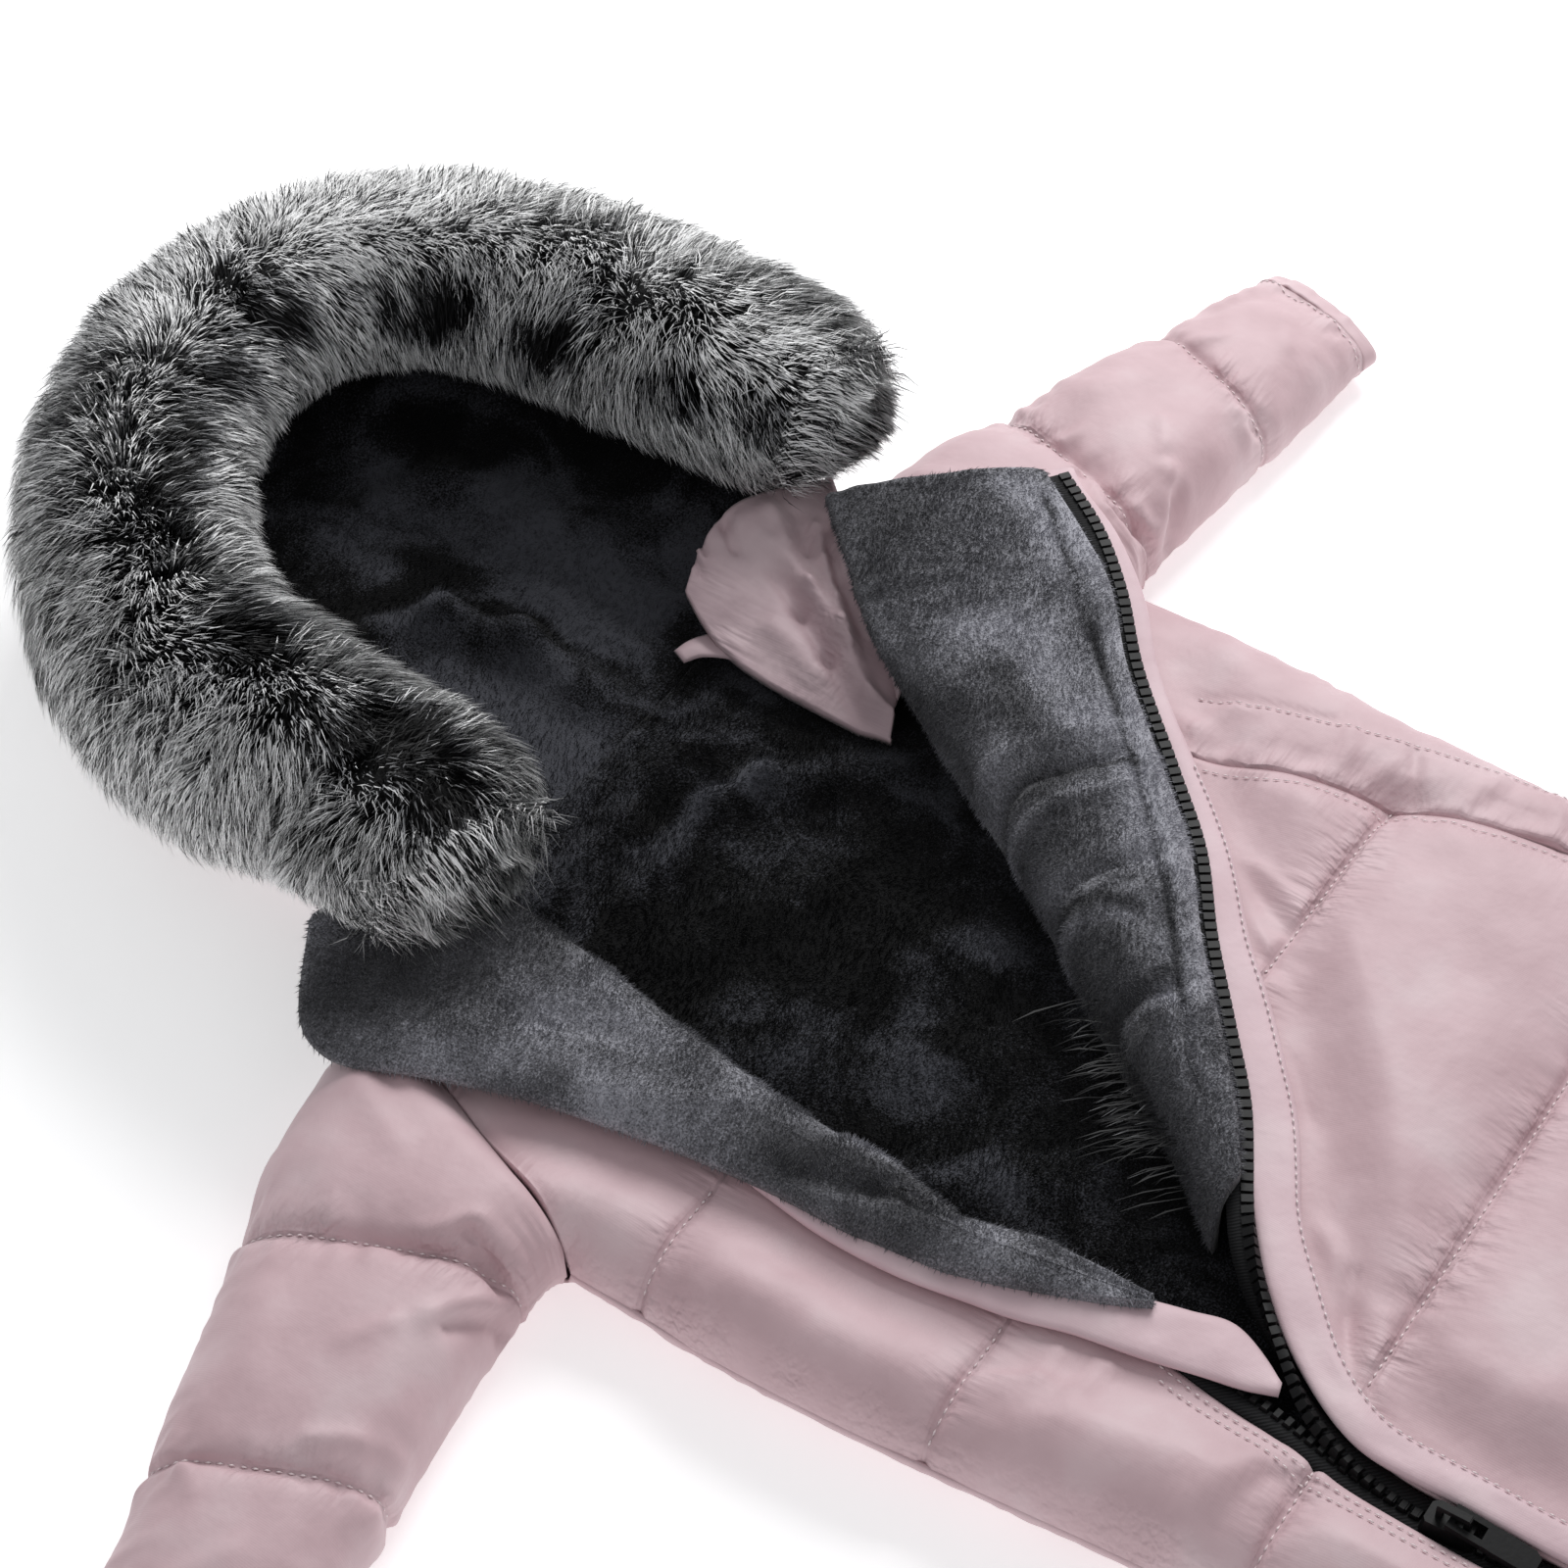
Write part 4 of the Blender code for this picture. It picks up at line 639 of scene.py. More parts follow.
def ribs(tree, place, scale, distortion, direction, **more):
    """Even ribs: a scale of 450 draws them 0.7 mm apart."""
    settings = {"Scale": scale, "Distortion": distortion, **more}
    return add(
        tree, "ShaderNodeTexWave", settings, {"Vector": place}, bands_direction=direction
    ).outputs["Fac"]


def joined(tree, how, first, second):
    """Two factors added or multiplied."""
    return add(tree, "ShaderNodeMath", links={0: first, 1: second}, operation=how).outputs[0]


def raised_surface(tree, height, strength, distance, under=None):
    """A bump of a height, on top of another bump if one is given."""
    links = {"Height": height} if under is None else {"Height": height, "Normal": under}
    settings = {"Strength": strength, "Distance": distance}
    return add(tree, "ShaderNodeBump", settings, links).outputs["Normal"]


def object_place(tree):
    return add(tree, "ShaderNodeTexCoord").outputs["Object"]


def attribute(tree, name):
    return add(tree, "ShaderNodeAttribute", attribute_name=name).outputs["Fac"]


def dressed(material, tree, shader, tone, relief=None):
    """The finished material, with its colour and its bump linked in."""
    tree.links.new(tone, shader.inputs["Base Color"])
    if relief is not None:
        tree.links.new(relief, shader.inputs["Normal"])
    return material


def woven_nylon(name, dark, middle, light):
    """Polyamide taffeta, woven and calendered: a soft satin gloss, slightly pinker where it thins."""
    material, tree, shader = new_material(
        name, 0.56, middle, Sheen_Weight=0.12, Sheen_Roughness=0.45, Specular_IOR_Level=0.42
    )
    place = object_place(tree)
    # Dye takes unevenly over 30 mm patches, which reads as a faint cloudiness.
    cloud = noise(tree, place, 33.0, 3.0)
    tone = colour_steps(tree, cloud, (0.30, dark), (0.52, middle), (0.72, light))
    # Threads lie 0.2 mm apart, too fine to show: they are drawn 0.7 mm apart.
    warp, weft = (ribs(tree, place, 450.0, 0.3, direction) for direction in "XY")
    weave = raised_surface(tree, joined(tree, "ADD", warp, weft), 0.12, 0.0001)
    # Small 6 mm dimples are what a light filling shows through thin cloth.
    dimples = raised_surface(tree, noise(tree, place, 160.0, 2.0), 0.35, 0.0009, weave)
    # Wrinkles 3 mm apart run off each line of stitches, across it.
    folds = []
    for pull, stretch in (("gather_along_x", (0.13, 1.0, 1.0)), ("gather_along_y", (1.0, 0.13, 1.0))):
        stretched = add(tree, "ShaderNodeMapping", {"Scale": stretch}, {"Vector": place}).outputs["Vector"]
        folds.append(joined(tree, "MULTIPLY", noise(tree, stretched, 330.0, 1.5), attribute(tree, pull)))
    gathers = raised_surface(tree, joined(tree, "ADD", *folds), 1.0, 0.0030, dimples)
    return dressed(material, tree, shader, tone, gathers)


def polyester_plush(name, dark, middle, light, nap, sheen, crush):
    """Coral-fleece plush, knitted polyester with its pile raised: matt, paler in patches where the nap turns,
    with painted highlight and painted shade added from its marks.
    """
    material, tree, shader = new_material(
        name, 0.92, middle, Sheen_Weight=sheen, Sheen_Roughness=0.6, Specular_IOR_Level=0.1
    )
    place = object_place(tree)
    # The nap lies in patches of 30 to 50 mm, stroked one way or the other, and streaked where it is crushed.
    patch = noise(tree, place, nap, 2.5, Roughness=0.5, Distortion=crush)
    # Tufts are 0.7 mm apart.
    tuft = noise(tree, place, 1400.0, 1.0)
    mixed = add(tree, "ShaderNodeMix", {"Factor": 0.42}, {"A": patch, "B": tuft}).outputs["Result"]
    # The marks on each point add to the tone: paler or darker where the nap lies one way or the other, and
    # painted highlight on lit folds and painted shade in seams, creases and hollows.
    plush_tone_and_painted_light = joined(tree, "ADD", mixed, attribute(tree, "nap"))
    tone = colour_steps(tree, plush_tone_and_painted_light, (0.36, dark), (0.50, middle), (0.66, light))
    return dressed(material, tree, shader, tone, raised_surface(tree, tuft, 0.7, 0.0008))


def acrylic_fur(name):
    """Long acrylic pile, black at the root and frosted at the tip: silky, with streaks of white."""
    material, tree, shader = new_material(name, 0.58, "2A2A2D", Specular_IOR_Level=0.3)
    frost = attribute(tree, "frost")
    tone = colour_steps(tree, frost, (0.0, "030304"), (0.32, "0B0B0E"), (0.45, "B0B1B4"), (0.58, "FFFFFF"))
    return dressed(material, tree, shader, tone)


def woven_tape(name):
    """Zip tape of woven polyester: matt black in a fine herringbone."""
    material, tree, shader = new_material(name, 0.82, "161617", Specular_IOR_Level=0.25)
    # Ribs of the weave are 0.8 mm apart.
    rib = ribs(tree, object_place(tree), 380.0, 1.2, "DIAGONAL", Detail=1.0)
    tone = colour_steps(tree, rib, (0.2, "0D0D0E"), (0.8, "1F1F21"))
    return dressed(material, tree, shader, tone, raised_surface(tree, rib, 0.5, 0.0003))


def moulded_acetal(name):
    """Injection-moulded acetal: dense black with a satin gloss, faintly mottled by the mould."""
    material, tree, shader = new_material(name, 0.5, "080809", Specular_IOR_Level=0.22)
    grain = noise(tree, object_place(tree), 700.0, 2.0)
    tone = colour_steps(tree, grain, (0.3, "060607"), (0.7, "0D0D0E"))
    return dressed(material, tree, shader, tone, raised_surface(tree, grain, 0.2, 0.0002))


def spun_thread(name):
    """Spun polyester sewing thread, twisted: paler than the nylon, so that each stitch shows."""
    material, tree, shader = new_material(name, 0.6, "EBDADC", Specular_IOR_Level=0.35)
    # One twist to each 0.7 mm.
    twist = ribs(tree, object_place(tree), 450.0, 0.5, "DIAGONAL")
    return dressed(material, tree, shader, colour_steps(tree, twist, (0.0, "DFCBCE"), (1.0, "F4E8E8")))


NYLON = woven_nylon("woven_nylon_dusty_pink", "C4A6AB", "CEB1B6", "D5BDC1")
BAND_NYLON = woven_nylon("woven_nylon_band", "CEB1B7", "D6BBC1", "DDC6CA")
# The neck's nylon is the same cloth painted darker: painted shade for the shadow that the hood casts on it.
GUARD_NYLON_PAINTED_SHADE = woven_nylon("woven_nylon_neck_painted_shade", "AE969C", "BEA6AB", "CBB5B9")
GREY_PLUSH = polyester_plush("coral_fleece_grey", "3A3A3E", "626267", "A6A6AE", 21.0, 0.22, 0.3)
# The lining's plush is near black: partly its own dark colour, partly painted shade for the shade that falls
# inside the open bag and the hood.
DARK_PLUSH_WITH_PAINTED_SHADE = polyester_plush("coral_fleece_dark_painted_shade", "040405", "09090A", "47484E", 34.0, 0.05, 0.7)
FUR_PILE = acrylic_fur("acrylic_fur_frosted")
TAPE_WEAVE = woven_tape("woven_zip_tape")
ACETAL = moulded_acetal("moulded_acetal_black")
THREAD = spun_thread("spun_thread_pale")


# ---------------------------------------------------------------- the body


def half_width(y, side):
    """Half the body's width on one side: the side line, then the armhole line over the armpit."""
    y = np.asarray(y, float)
    armhole = ARMPIT_X - (ARMPIT_X - SHOULDER_X) * y / SHOULDER_Y
    line = smooth(SIDE_LINE, y)[..., 0 if side < 0 else 1]
    return np.where(y > 0, armhole - SEAM_GAP / 2, line)


def shoulder_lift(x, y):
    """How far a row near the shoulder is carried up towards the neck."""
    ramp = ease((np.asarray(y, float) - SHOULDER_FROM_Y) / (SHOULDER_Y - SHOULDER_FROM_Y))
    return ramp * SHOULDER_RISE * np.maximum(SHOULDER_X - np.abs(x), 0)


def body_rows():
    """Row positions from the bottom seam to the shoulder, one on each stitch line and one at the armpit."""
    rows = spread(FOOT_Y, SHOULDER_Y, True, True, busy=STITCH_LINES)
    for line in (*STITCH_LINES, 0.0, ZIP_END_Y):
        rows[np.abs(rows - line).argmin()] = line
    return rows


ROWS = body_rows()


def edge_profile(x, y):
    """How far each point is round the edge: 0 on the side seam's line, growing to 1 on the flat."""
    low = ROWS[ROWS <= 0]
    ring = [(-half_width(v, -1), v) for v in low[::-1]] + [(half_width(v, 1), v) for v in low]
    shoulder = [(SHOULDER_X, SHOULDER_Y), (LEFT_NECK_X, SHOULDER_Y + LEFT_NECK_RISE)]
    other = [(-SHOULDER_X, SHOULDER_Y), (RIGHT_NECK_X, SHOULDER_Y + RIGHT_NECK_RISE)]
    gap = np.min([distance_to(path, x, y) for path in (ring, shoulder, other)], axis=0)
    turn = np.clip(1 - gap / EDGE_RADIUS, 0, 1)
    return np.sqrt(1 - turn**2)


def quilting(y):
    """0 on a stitch line, 1 in the middle of a channel."""
    share = ((np.asarray(y, float) - FIRST_STITCH_Y) / STITCH_PITCH) % 1
    return 1 - np.abs(2 * share - 1) ** PUFF_POWER


def strip_outline(table, inner, outer):
    path = np.asarray(table, float)
    side = side_normals(path)
    return np.vstack([path[:, :2] + side * inner[:, None], (path[:, :2] + side * outer[:, None])[::-1]])


def room_for_puffs(x, y):
    """0 under the folded layers, growing to 1 away from them."""
    lapel, placket, facing, band = (np.asarray(t, float) for t in (LAPEL, PLACKET, RIGHT_FACING, RIGHT_BAND))
    outlines = (
        np.vstack([lapel[:, :2], lapel[::-1, 3:5]]), strip_outline(placket, placket[:, 3], placket[:, 4]),
        np.vstack([facing[:, :2], facing[::-1, 3:5]]), np.vstack([band[:, :2], band[::-1, 2:]]),
    )
    room = np.full(np.shape(x), PUFF_ROOM)
    for outline in outlines:
        gap = distance_to(np.vstack([outline, outline[:1]]), x, y)
        room = np.minimum(room, np.where(inside(outline, x, y), 0, gap))
    return ease((room - CALM_BORDER / 2) / (PUFF_ROOM + 3 - CALM_BORDER / 2)), room


def stitch_distance(y):
    """Signed way from the nearest quilting line."""
    return (np.asarray(y, float) - FIRST_STITCH_Y + STITCH_PITCH / 2) % STITCH_PITCH - STITCH_PITCH / 2


def front_columns(left, right, round_left, round_right):
    """The x of a front panel's points, across every row from its left edge to its right one."""
    width = right - left
    widest = width.max()
    shares = spread(0, widest, round_left, round_right, PUCKER_PITCH)[:, None] / widest
    if round_left == round_right:
        return left + width * shares
    # The rounded edge keeps its own steps, and the rest of the row shares what is left.
    bend = np.minimum(EDGE_RADIUS, width / 2)
    turned = shares if round_left else 1 - shares[::-1]
    knee = EDGE_RADIUS / widest
    far = bend + (turned - knee) / (1 - knee) * (width - bend)
    way_in = np.where(turned <= knee, turned / knee * bend, far)
    return left + way_in if round_left else (right - way_in)[::-1]


def front_grid(left, right, round_left, round_right, quilted, table, seed):
    """One front panel's outer cloth between two edges, each given as x for every row."""
    x = front_columns(left, right, round_left, round_right)
    level = np.broadcast_to(ROWS, x.shape)
    rise = edge_profile(x, level)
    room, clear = room_for_puffs(x, level)
    flat = FRONT_FLAT_Z + CROWN * (1 - (x / ARMPIT_X) ** 2)
    from_princess = np.abs(x - column(PRINCESS_SEAM, level))
    puff = PUFF * quilting(level)
    if not quilted:
        puff = puff + (SIDE_STRIP_PUFF - puff) * ease(from_princess / PLAIN_FROM_SEAM)
    dip = SEAM_DIP * np.exp(-((from_princess / SEAM_DIP_REACH) ** 2))
    top = SIDE_SEAM_Z + (flat + (puff - dip) * room - SIDE_SEAM_Z) * rise
    grid = np.stack([x, level + shoulder_lift(x, level), top], axis=-1)

    open_air = ease(clear / 5)
    height = billows(x, level, seed) * ease(rise * 1.4) * room
    if quilted:
        away = stitch_distance(level)
        height += (groove(away) + puckers(away, x, seed + 5)) * open_air * ease(from_princess / 5 + 0.2)
    from_side = np.minimum(np.abs(x + half_width(level, -1)), np.abs(x - half_width(level, 1)))
    height += puckers(np.where(level < 0, from_side, FAR_OFF), level, seed + 9, 0.6, 4.5)
    height += puckers(from_princess, level, seed + 13, 0.6 if quilted else 1.6, 4.2) * open_air
    height += creases(x, level, table) * open_air
    grid = raised(grid, height)
    from_armhole = np.where(level > 0, from_side, FAR_OFF)
    grid[..., 2] += (groove(from_armhole, 1.8, 3.0) + groove(from_princess, 1.0, 1.6)) * open_air
    return grid


def turned_in(grid, way_in, depth):
    """An edge column of a panel with the seam allowance turned down below it."""
    allowance = grid.copy()
    allowance[:, 0] += way_in
    allowance[:, 2] -= depth
    return allowance[None]


def with_allowances(grid, first, last):
    """A panel with an allowance at its right and its left edge: each how far in and how deep."""
    return np.concatenate([turned_in(grid[0], *first), grid, turned_in(grid[-1], *last)])


def princess_gap(y):
    """Half the gap at the princess seam, measured along x."""
    slope = (column(PRINCESS_SEAM, y + 1) - column(PRINCESS_SEAM, y - 1)) / 2
    return SEAM_GAP / 2 * np.hypot(1, slope)


def fronts():
    """The three front panels; returns their grids for the stitches."""
    seam, gap = column(PRINCESS_SEAM, ROWS), princess_gap(ROWS)
    strip = front_grid(
        -half_width(ROWS, -1), column(RIGHT_EDGE, ROWS), True, False, True, FRONT_RIGHT_CREASES, 11
    )
    left = front_grid(column(LEFT_EDGE, ROWS), seam - gap, False, False, True, FRONT_LEFT_CREASES, 23)
    side = front_grid(seam + gap, half_width(ROWS, 1), False, True, False, SIDE_LEFT_CREASES, 37)
    grids = {"front_right": strip, "front_left": left[:, ROWS <= FRONT_LEFT_TOP_Y], "side_left": side}
    at_side = np.where(ROWS > 0, 0.3, -1.2)
    edges = {
        "front_right": ((-at_side, 5.0), (-1.0, 3.0)), "front_left": ((1.0, 3.0), (0.2, 5.0)),
        "side_left": ((-0.2, 5.0), (at_side, 5.0)),
    }
    for name, grid in grids.items():
        piece = wear(shell(f"{name}_nylon", with_allowances(grid, *edges[name]), NYLON), "pink_nylon", name)
        x, y = plan_of(piece)
        level = y - shoulder_lift(x, y)
        from_side = np.minimum(x + half_width(level, -1), half_width(level, 1) - x)
        from_princess = x - column(PRINCESS_SEAM, level)
        quilts = np.full(len(x), FAR_OFF) if name == "side_left" else stitch_distance(level)
        from_side = from_side + 4
        gathered(piece, quilts, np.where(np.abs(from_princess) < from_side, from_princess, from_side))
    return grids


def neck_line(x):
    """The top edge of the back: two shoulders and the dipped neck between them."""
    share = np.clip((x - RIGHT_NECK_X) / (LEFT_NECK_X - RIGHT_NECK_X), 0, 1)
    neck = RIGHT_NECK_RISE + (LEFT_NECK_RISE - RIGHT_NECK_RISE) * share - NECK_DIP * np.sin(math.pi * share)
    shoulder = SHOULDER_RISE * np.maximum(SHOULDER_X - np.abs(x), 0)
    between = (x > RIGHT_NECK_X) & (x < LEFT_NECK_X)
    return SHOULDER_Y + np.where(between, neck, shoulder)


def towards_neck(y):
    """0 on the body, growing to 1 at the back's top edge."""
    return ease((y - NECK_FROM_Y) / (SHOULDER_Y - NECK_FROM_Y))


def back():
    """The back: flat on the floor, rounding up to the side seams and the shoulders."""
    width = 2 * ARMPIT_X
    shares = spread(0, width, True, True, BACK_PITCH) / width
    right, left = -half_width(ROWS, -1), half_width(ROWS, 1)
    x = right + (left - right) * shares[:, None]
    level = np.broadcast_to(ROWS, x.shape)
    y = level + towards_neck(level) * (neck_line(x) - SHOULDER_Y)
    rise = edge_profile(x, y)
    at_neck = (x > RIGHT_NECK_X - 25) & (x < LEFT_NECK_X) & (y > 60)
    rise = np.where(at_neck, 1, rise)
    seam = SIDE_SEAM_Z - SEAM_GAP / 2
    grid = np.stack([x, y, seam * (1 - rise)], axis=-1)
    from_side = np.minimum(np.abs(x - right), np.abs(x - left))
    height = puckers(np.where(level < 0, from_side, FAR_OFF), level, 55, 0.6, 4.5)
    grid = raised(grid, -height)
    sunk = -groove(stitch_distance(level), 1.0, 2.2) + creases(x, level, BACK_CREASES)
    grid[..., 2] = np.maximum(grid[..., 2], 0) + np.maximum(sunk, 0) * ease(from_side / 20)
    piece = wear(shell("back_nylon", grid, NYLON, inward=True), "pink_nylon", "back_panel")


def back_lining():
    """Dark plush on the back's inside, as far as the open front shows it."""
    rows = np.linspace(LINING_END_Y, SHOULDER_Y, LINING_ROWS)
    clear = half_width(rows, 1) - EDGE_RADIUS - 2
    left = np.maximum(column(RIGHT_EDGE, rows) - LINING_UNDER, -clear)
    right = np.minimum(column(LEFT_EDGE, rows) + LINING_UNDER, clear)
    near_neck = rows > SHOULDER_Y - EDGE_RADIUS - 4
    left = np.where(near_neck, np.maximum(left, RIGHT_NECK_X - 8), left)
    right = np.where(near_neck, np.minimum(right, LEFT_NECK_X - 12), right)
    x = left + (right - left) * np.linspace(0, 1, LINING_COLUMNS)[:, None]
    y = np.broadcast_to(rows, x.shape)
    y = y + towards_neck(y) * (neck_line(x) - SHOULDER_Y) - SEAM_GAP + 4.5 * ease((y - 84) / 20)
    open_front = ease(np.minimum(x - column(RIGHT_EDGE, y), column(LEFT_EDGE, y) - x) / 14 - 0.4)
    soft = uneven(x, y, 71, (0.9, 24, 22), (0.5, 11, 10))
    top = BACK_INNER_Z + SEAM_GAP + PLUSH + (creases(x, y, LINING_FOLDS) + soft + 0.8) * open_front
    grid = np.stack([x, y, top], axis=-1)
    # The lining's near-black plush carries painted shade.
    piece = wear(shell("lining_plush", grid, DARK_PLUSH_WITH_PAINTED_SHADE, thick=3.0), "dark_plush", "lining_back")
    stored_nap_and_painted_light(piece, LINING_NAP_AND_PAINTED_LIGHT)
    return grid, open_front


# ---------------------------------------------------------------- facings, bands and zip


FACING_LONG = 300.0
FACING_ROWS = 120
# Steps of a facing's section over its top and back under it, and the top's step where a seam runs.
FACING_TOP_STEPS, FACING_UNDER_STEPS = 34, 14
FACING_SEAM_STEP = 27
# How far bumps and troughs may leave a facing's section.
FACING_LOWEST, FACING_TALLEST = -4.4, 3.2


def facing_section(width, low, base, top):
    """A facing's section over its top and back under it: pairs of reach from the fold, and height."""
    crest = np.minimum(11, 0.42 * width)
    wall_in = np.minimum(3.4, 0.3 * width)
    edge_top = base + 4.2
    bend = np.clip(0.3 * (base - low), 0, 2)
    outer = (
        (0.5 + 0 * width, low), (-1.8 + 0 * width, low + 0.38 * (top - low)),
        (-1.0 + 0 * width, low + 0.74 * (top - low)), (0.36 * crest, top - 2.2), (crest, top),
        (0.30 * width + 0.35 * crest, top - 0.2), (0.62 * width, top - 0.12 * (top - edge_top)),
        (0.82 * width, top - 0.45 * (top - edge_top)), (0.95 * width, edge_top), (width, edge_top - 2.2),
    )
    inner = (
        (width, base), (0.82 * width, base), (0.62 * width + 0.1 * wall_in, base),
        (0.30 * width + 0.35 * crest + 0.3 * wall_in, base), (crest + 0.4 * wall_in, base),
        (0.36 * crest + 0.6 * wall_in, base - bend), (wall_in - 0.2, low + 0.68 * (base - low)),
        (0.5 + wall_in, low),
    )
    return outer, inner


def facing_grid(rows, cross_creases, table, seed):
    """A plush facing's closed sections: down inside a front's edge, over the fold, out across it."""
    shares = np.linspace(0, 1, FACING_ROWS)
    row = along(rows, shares)
    fold, edge = row[:, :2], row[:, 3:5]
    width = np.linalg.norm(edge - fold, axis=1)
    out = (edge - fold) / width[:, None]
    fine = []
    sections = facing_section(width, row[:, 2], row[:, 5], row[:, 6])
    for section, count in zip(sections, (FACING_TOP_STEPS, FACING_UNDER_STEPS)):
        knots, steps = np.linspace(0, 1, len(section)), np.linspace(0, 1, count)
        across, height = (smooth(np.column_stack([knots, np.array(part)]), steps) for part in zip(*section))
        plan = fold + out * across[..., None]
        fine.append(np.concatenate([plan, height[..., None]], axis=-1))
    grid = np.concatenate(fine)
    top_side = np.zeros(grid.shape[:2])
    top_side[:FACING_TOP_STEPS] = np.sin(np.linspace(0, math.pi, FACING_TOP_STEPS))[:, None] ** 0.5
    x, y = grid[..., 0], grid[..., 1]
    height = uneven(x, y, seed, (0.8, 19, 17), (0.45, 8, 8))
    step = np.arange(len(grid))[:, None]
    before_seam = ease((FACING_SEAM_STEP - step) / 5)
    for place, tall in cross_creases:
        slant = 0.025 * np.sin(9 * place) * (step / FACING_TOP_STEPS)
        height = height + tall * np.exp(-(((shares + slant - place) * FACING_LONG / 3.0) ** 2)) * before_seam
    height = height + creases(x, y, table)
    return raised(grid, np.clip(height, FACING_LOWEST, FACING_TALLEST) * top_side, ring=True), top_side


def lapel_rows():
    """The lapel's table, its outer edge moved in from the teeth by the tape that shows."""
    rows = []
    for fold_x, fold_y, low, teeth_x, teeth_y, base, top in LAPEL:
        reach = math.hypot(fold_x - teeth_x, fold_y - teeth_y)
        shown = TAPE_SHOWN + TAPE_SHOWN_TOP * (teeth_y > 10)
        share = min(shown, 0.5 * reach) / reach
        edge = (teeth_x + share * (fold_x - teeth_x), teeth_y + share * (fold_y - teeth_y))
        rows.append((fold_x, fold_y, low, *edge, base, top))
    return rows


def closed_strip(name, sections, material):
    """A closed tube through rings of points, its two ends filled."""
    turns, stations = sections.shape[:2]
    first_end = np.arange(turns) * stations
    ends = (first_end[::-1], first_end + stations - 1)
    piece = new_piece(name, sections, grid_faces(turns, stations, ring=True), material, ends)
    around = np.roll(sections, -1, axis=0)[:, :-1] - sections[:, :-1]
    turned = np.cross(around, sections[:, 1:] - sections[:, :-1])
    if (turned * (sections[:, :-1] - sections.mean(0)[:-1])).sum() < 0:
        piece.data.flip_normals()
    return piece


def facings():
    """Both plush facings; returns their grids and which part of each lies on top."""
    made = []
    for name, rows, cross, table, seed in (
        ("facing_left", lapel_rows()[::-1], LAPEL_CROSS_CREASES, LAPEL_SEAM, 81),
        ("facing_right", RIGHT_FACING, (), FACING_TROUGH + FACING_CREASES, 91),
    ):
        grid, top_side = facing_grid(rows, cross, table, seed)
        piece = wear(closed_strip(f"{name}_plush", grid, GREY_PLUSH), "grey_plush", name)
        stored_nap_and_painted_light(piece, FACING_NAP_AND_PAINTED_LIGHT)
        made.append((grid, top_side))
    return made


def strip_sections(near, far, low, thick, bulge, seed):
    """Closed rings of a flat band with rolled edges between two plan paths."""
    # columns: share across, share of the thickness
    ring = (
        (0.0, 0.5), (0.02, 0.8), (0.10, 1.0), (0.25, 1.0), (0.40, 1.0), (0.55, 1.0), (0.68, 1.0),
        (0.80, 1.0), (0.92, 1.0), (0.985, 0.8), (1.0, 0.5), (0.985, 0.15), (0.90, 0.0), (0.60, 0.0),
        (0.30, 0.0), (0.08, 0.0), (0.01, 0.2),
    )
    way = np.arange(len(near)) * 1.0
    sections = []
    for share, level in ring:
        plan = near + (far - near) * share
        crown = bulge * math.sin(math.pi * share) * (level > 0.9)
        ripple = soft_noise(way / 5.2, way * 0 + share * 2.2, seed) * 0.7 * (level > 0.3)
        z = low + thick * level + crown + ripple * math.sin(math.pi * min(max(share, 0.08), 0.92))
        sections.append(np.column_stack([plan, z]))
    return np.array(sections)


PLACKET_ROWS = 190
BAND_ROWS = 90
# Where the zip parts, and how far up the wearer's right tape shows.
FORK_Y, RIGHT_TAPE_TOP_Y = -227.0, -140.0
TAPE_ROWS = 150
TEETH_ROWS = 400


def plackets():
    """The two pink bands beside the zip; returns the left one's rings for its topstitch."""
    table = along(PLACKET, np.linspace(0, 1, PLACKET_ROWS))
    side = side_normals(table)
    wave = 0.5 * soft_noise(np.arange(PLACKET_ROWS) / 9, np.zeros(PLACKET_ROWS), 103)
    near = table[:, :2] + side * table[:, 3:4]
    far = table[:, :2] + side * (table[:, 4:5] + wave[:, None])
    left = strip_sections(near, far, table[:, 2], PLACKET_WALL, 0.7, 101)
    band = along(RIGHT_BAND, np.linspace(0, 1, BAND_ROWS))
    right = strip_sections(band[:, :2], band[:, 2:], np.full(BAND_ROWS, BAND_Z), BAND_WALL, 0.9, 107)
    for name, rings in (("placket_left", left), ("placket_right", right)):
        piece = wear(closed_strip(f"{name}_nylon", rings, BAND_NYLON), "pink_nylon_band", name)
    return left


def left_tape_frames(count):
    """Points on the teeth line of the left tape, with the directions along, across and off it."""
    shares = np.linspace(0, 1, count)
    table = along(LEFT_TAPE, shares)
    way = unit(np.gradient(table[:, :3], axis=0))
    side = side_normals(table)
    turn = np.radians(np.interp(shares, way_shares(LEFT_TAPE), np.asarray(LEFT_TAPE, float)[:, 4]))
    cross = np.column_stack([-side * np.cos(turn)[:, None], -np.sin(turn)])
    cross = unit(cross - way * (cross * way).sum(1)[:, None])
    return table, way, cross, np.cross(way, cross)


def tape(side, edge, far, normal):
    """A zip tape between its toothed edge and its other one."""
    middle = (edge + far) / 2
    half = normal * TAPE / 2
    rings = np.array([edge + half, middle + half, far + half, far - half, middle - half, edge - half])
    return wear(closed_strip(f"tape_{side}_weave", rings, TAPE_WEAVE), "black_tape", f"zip_tape_{side}")


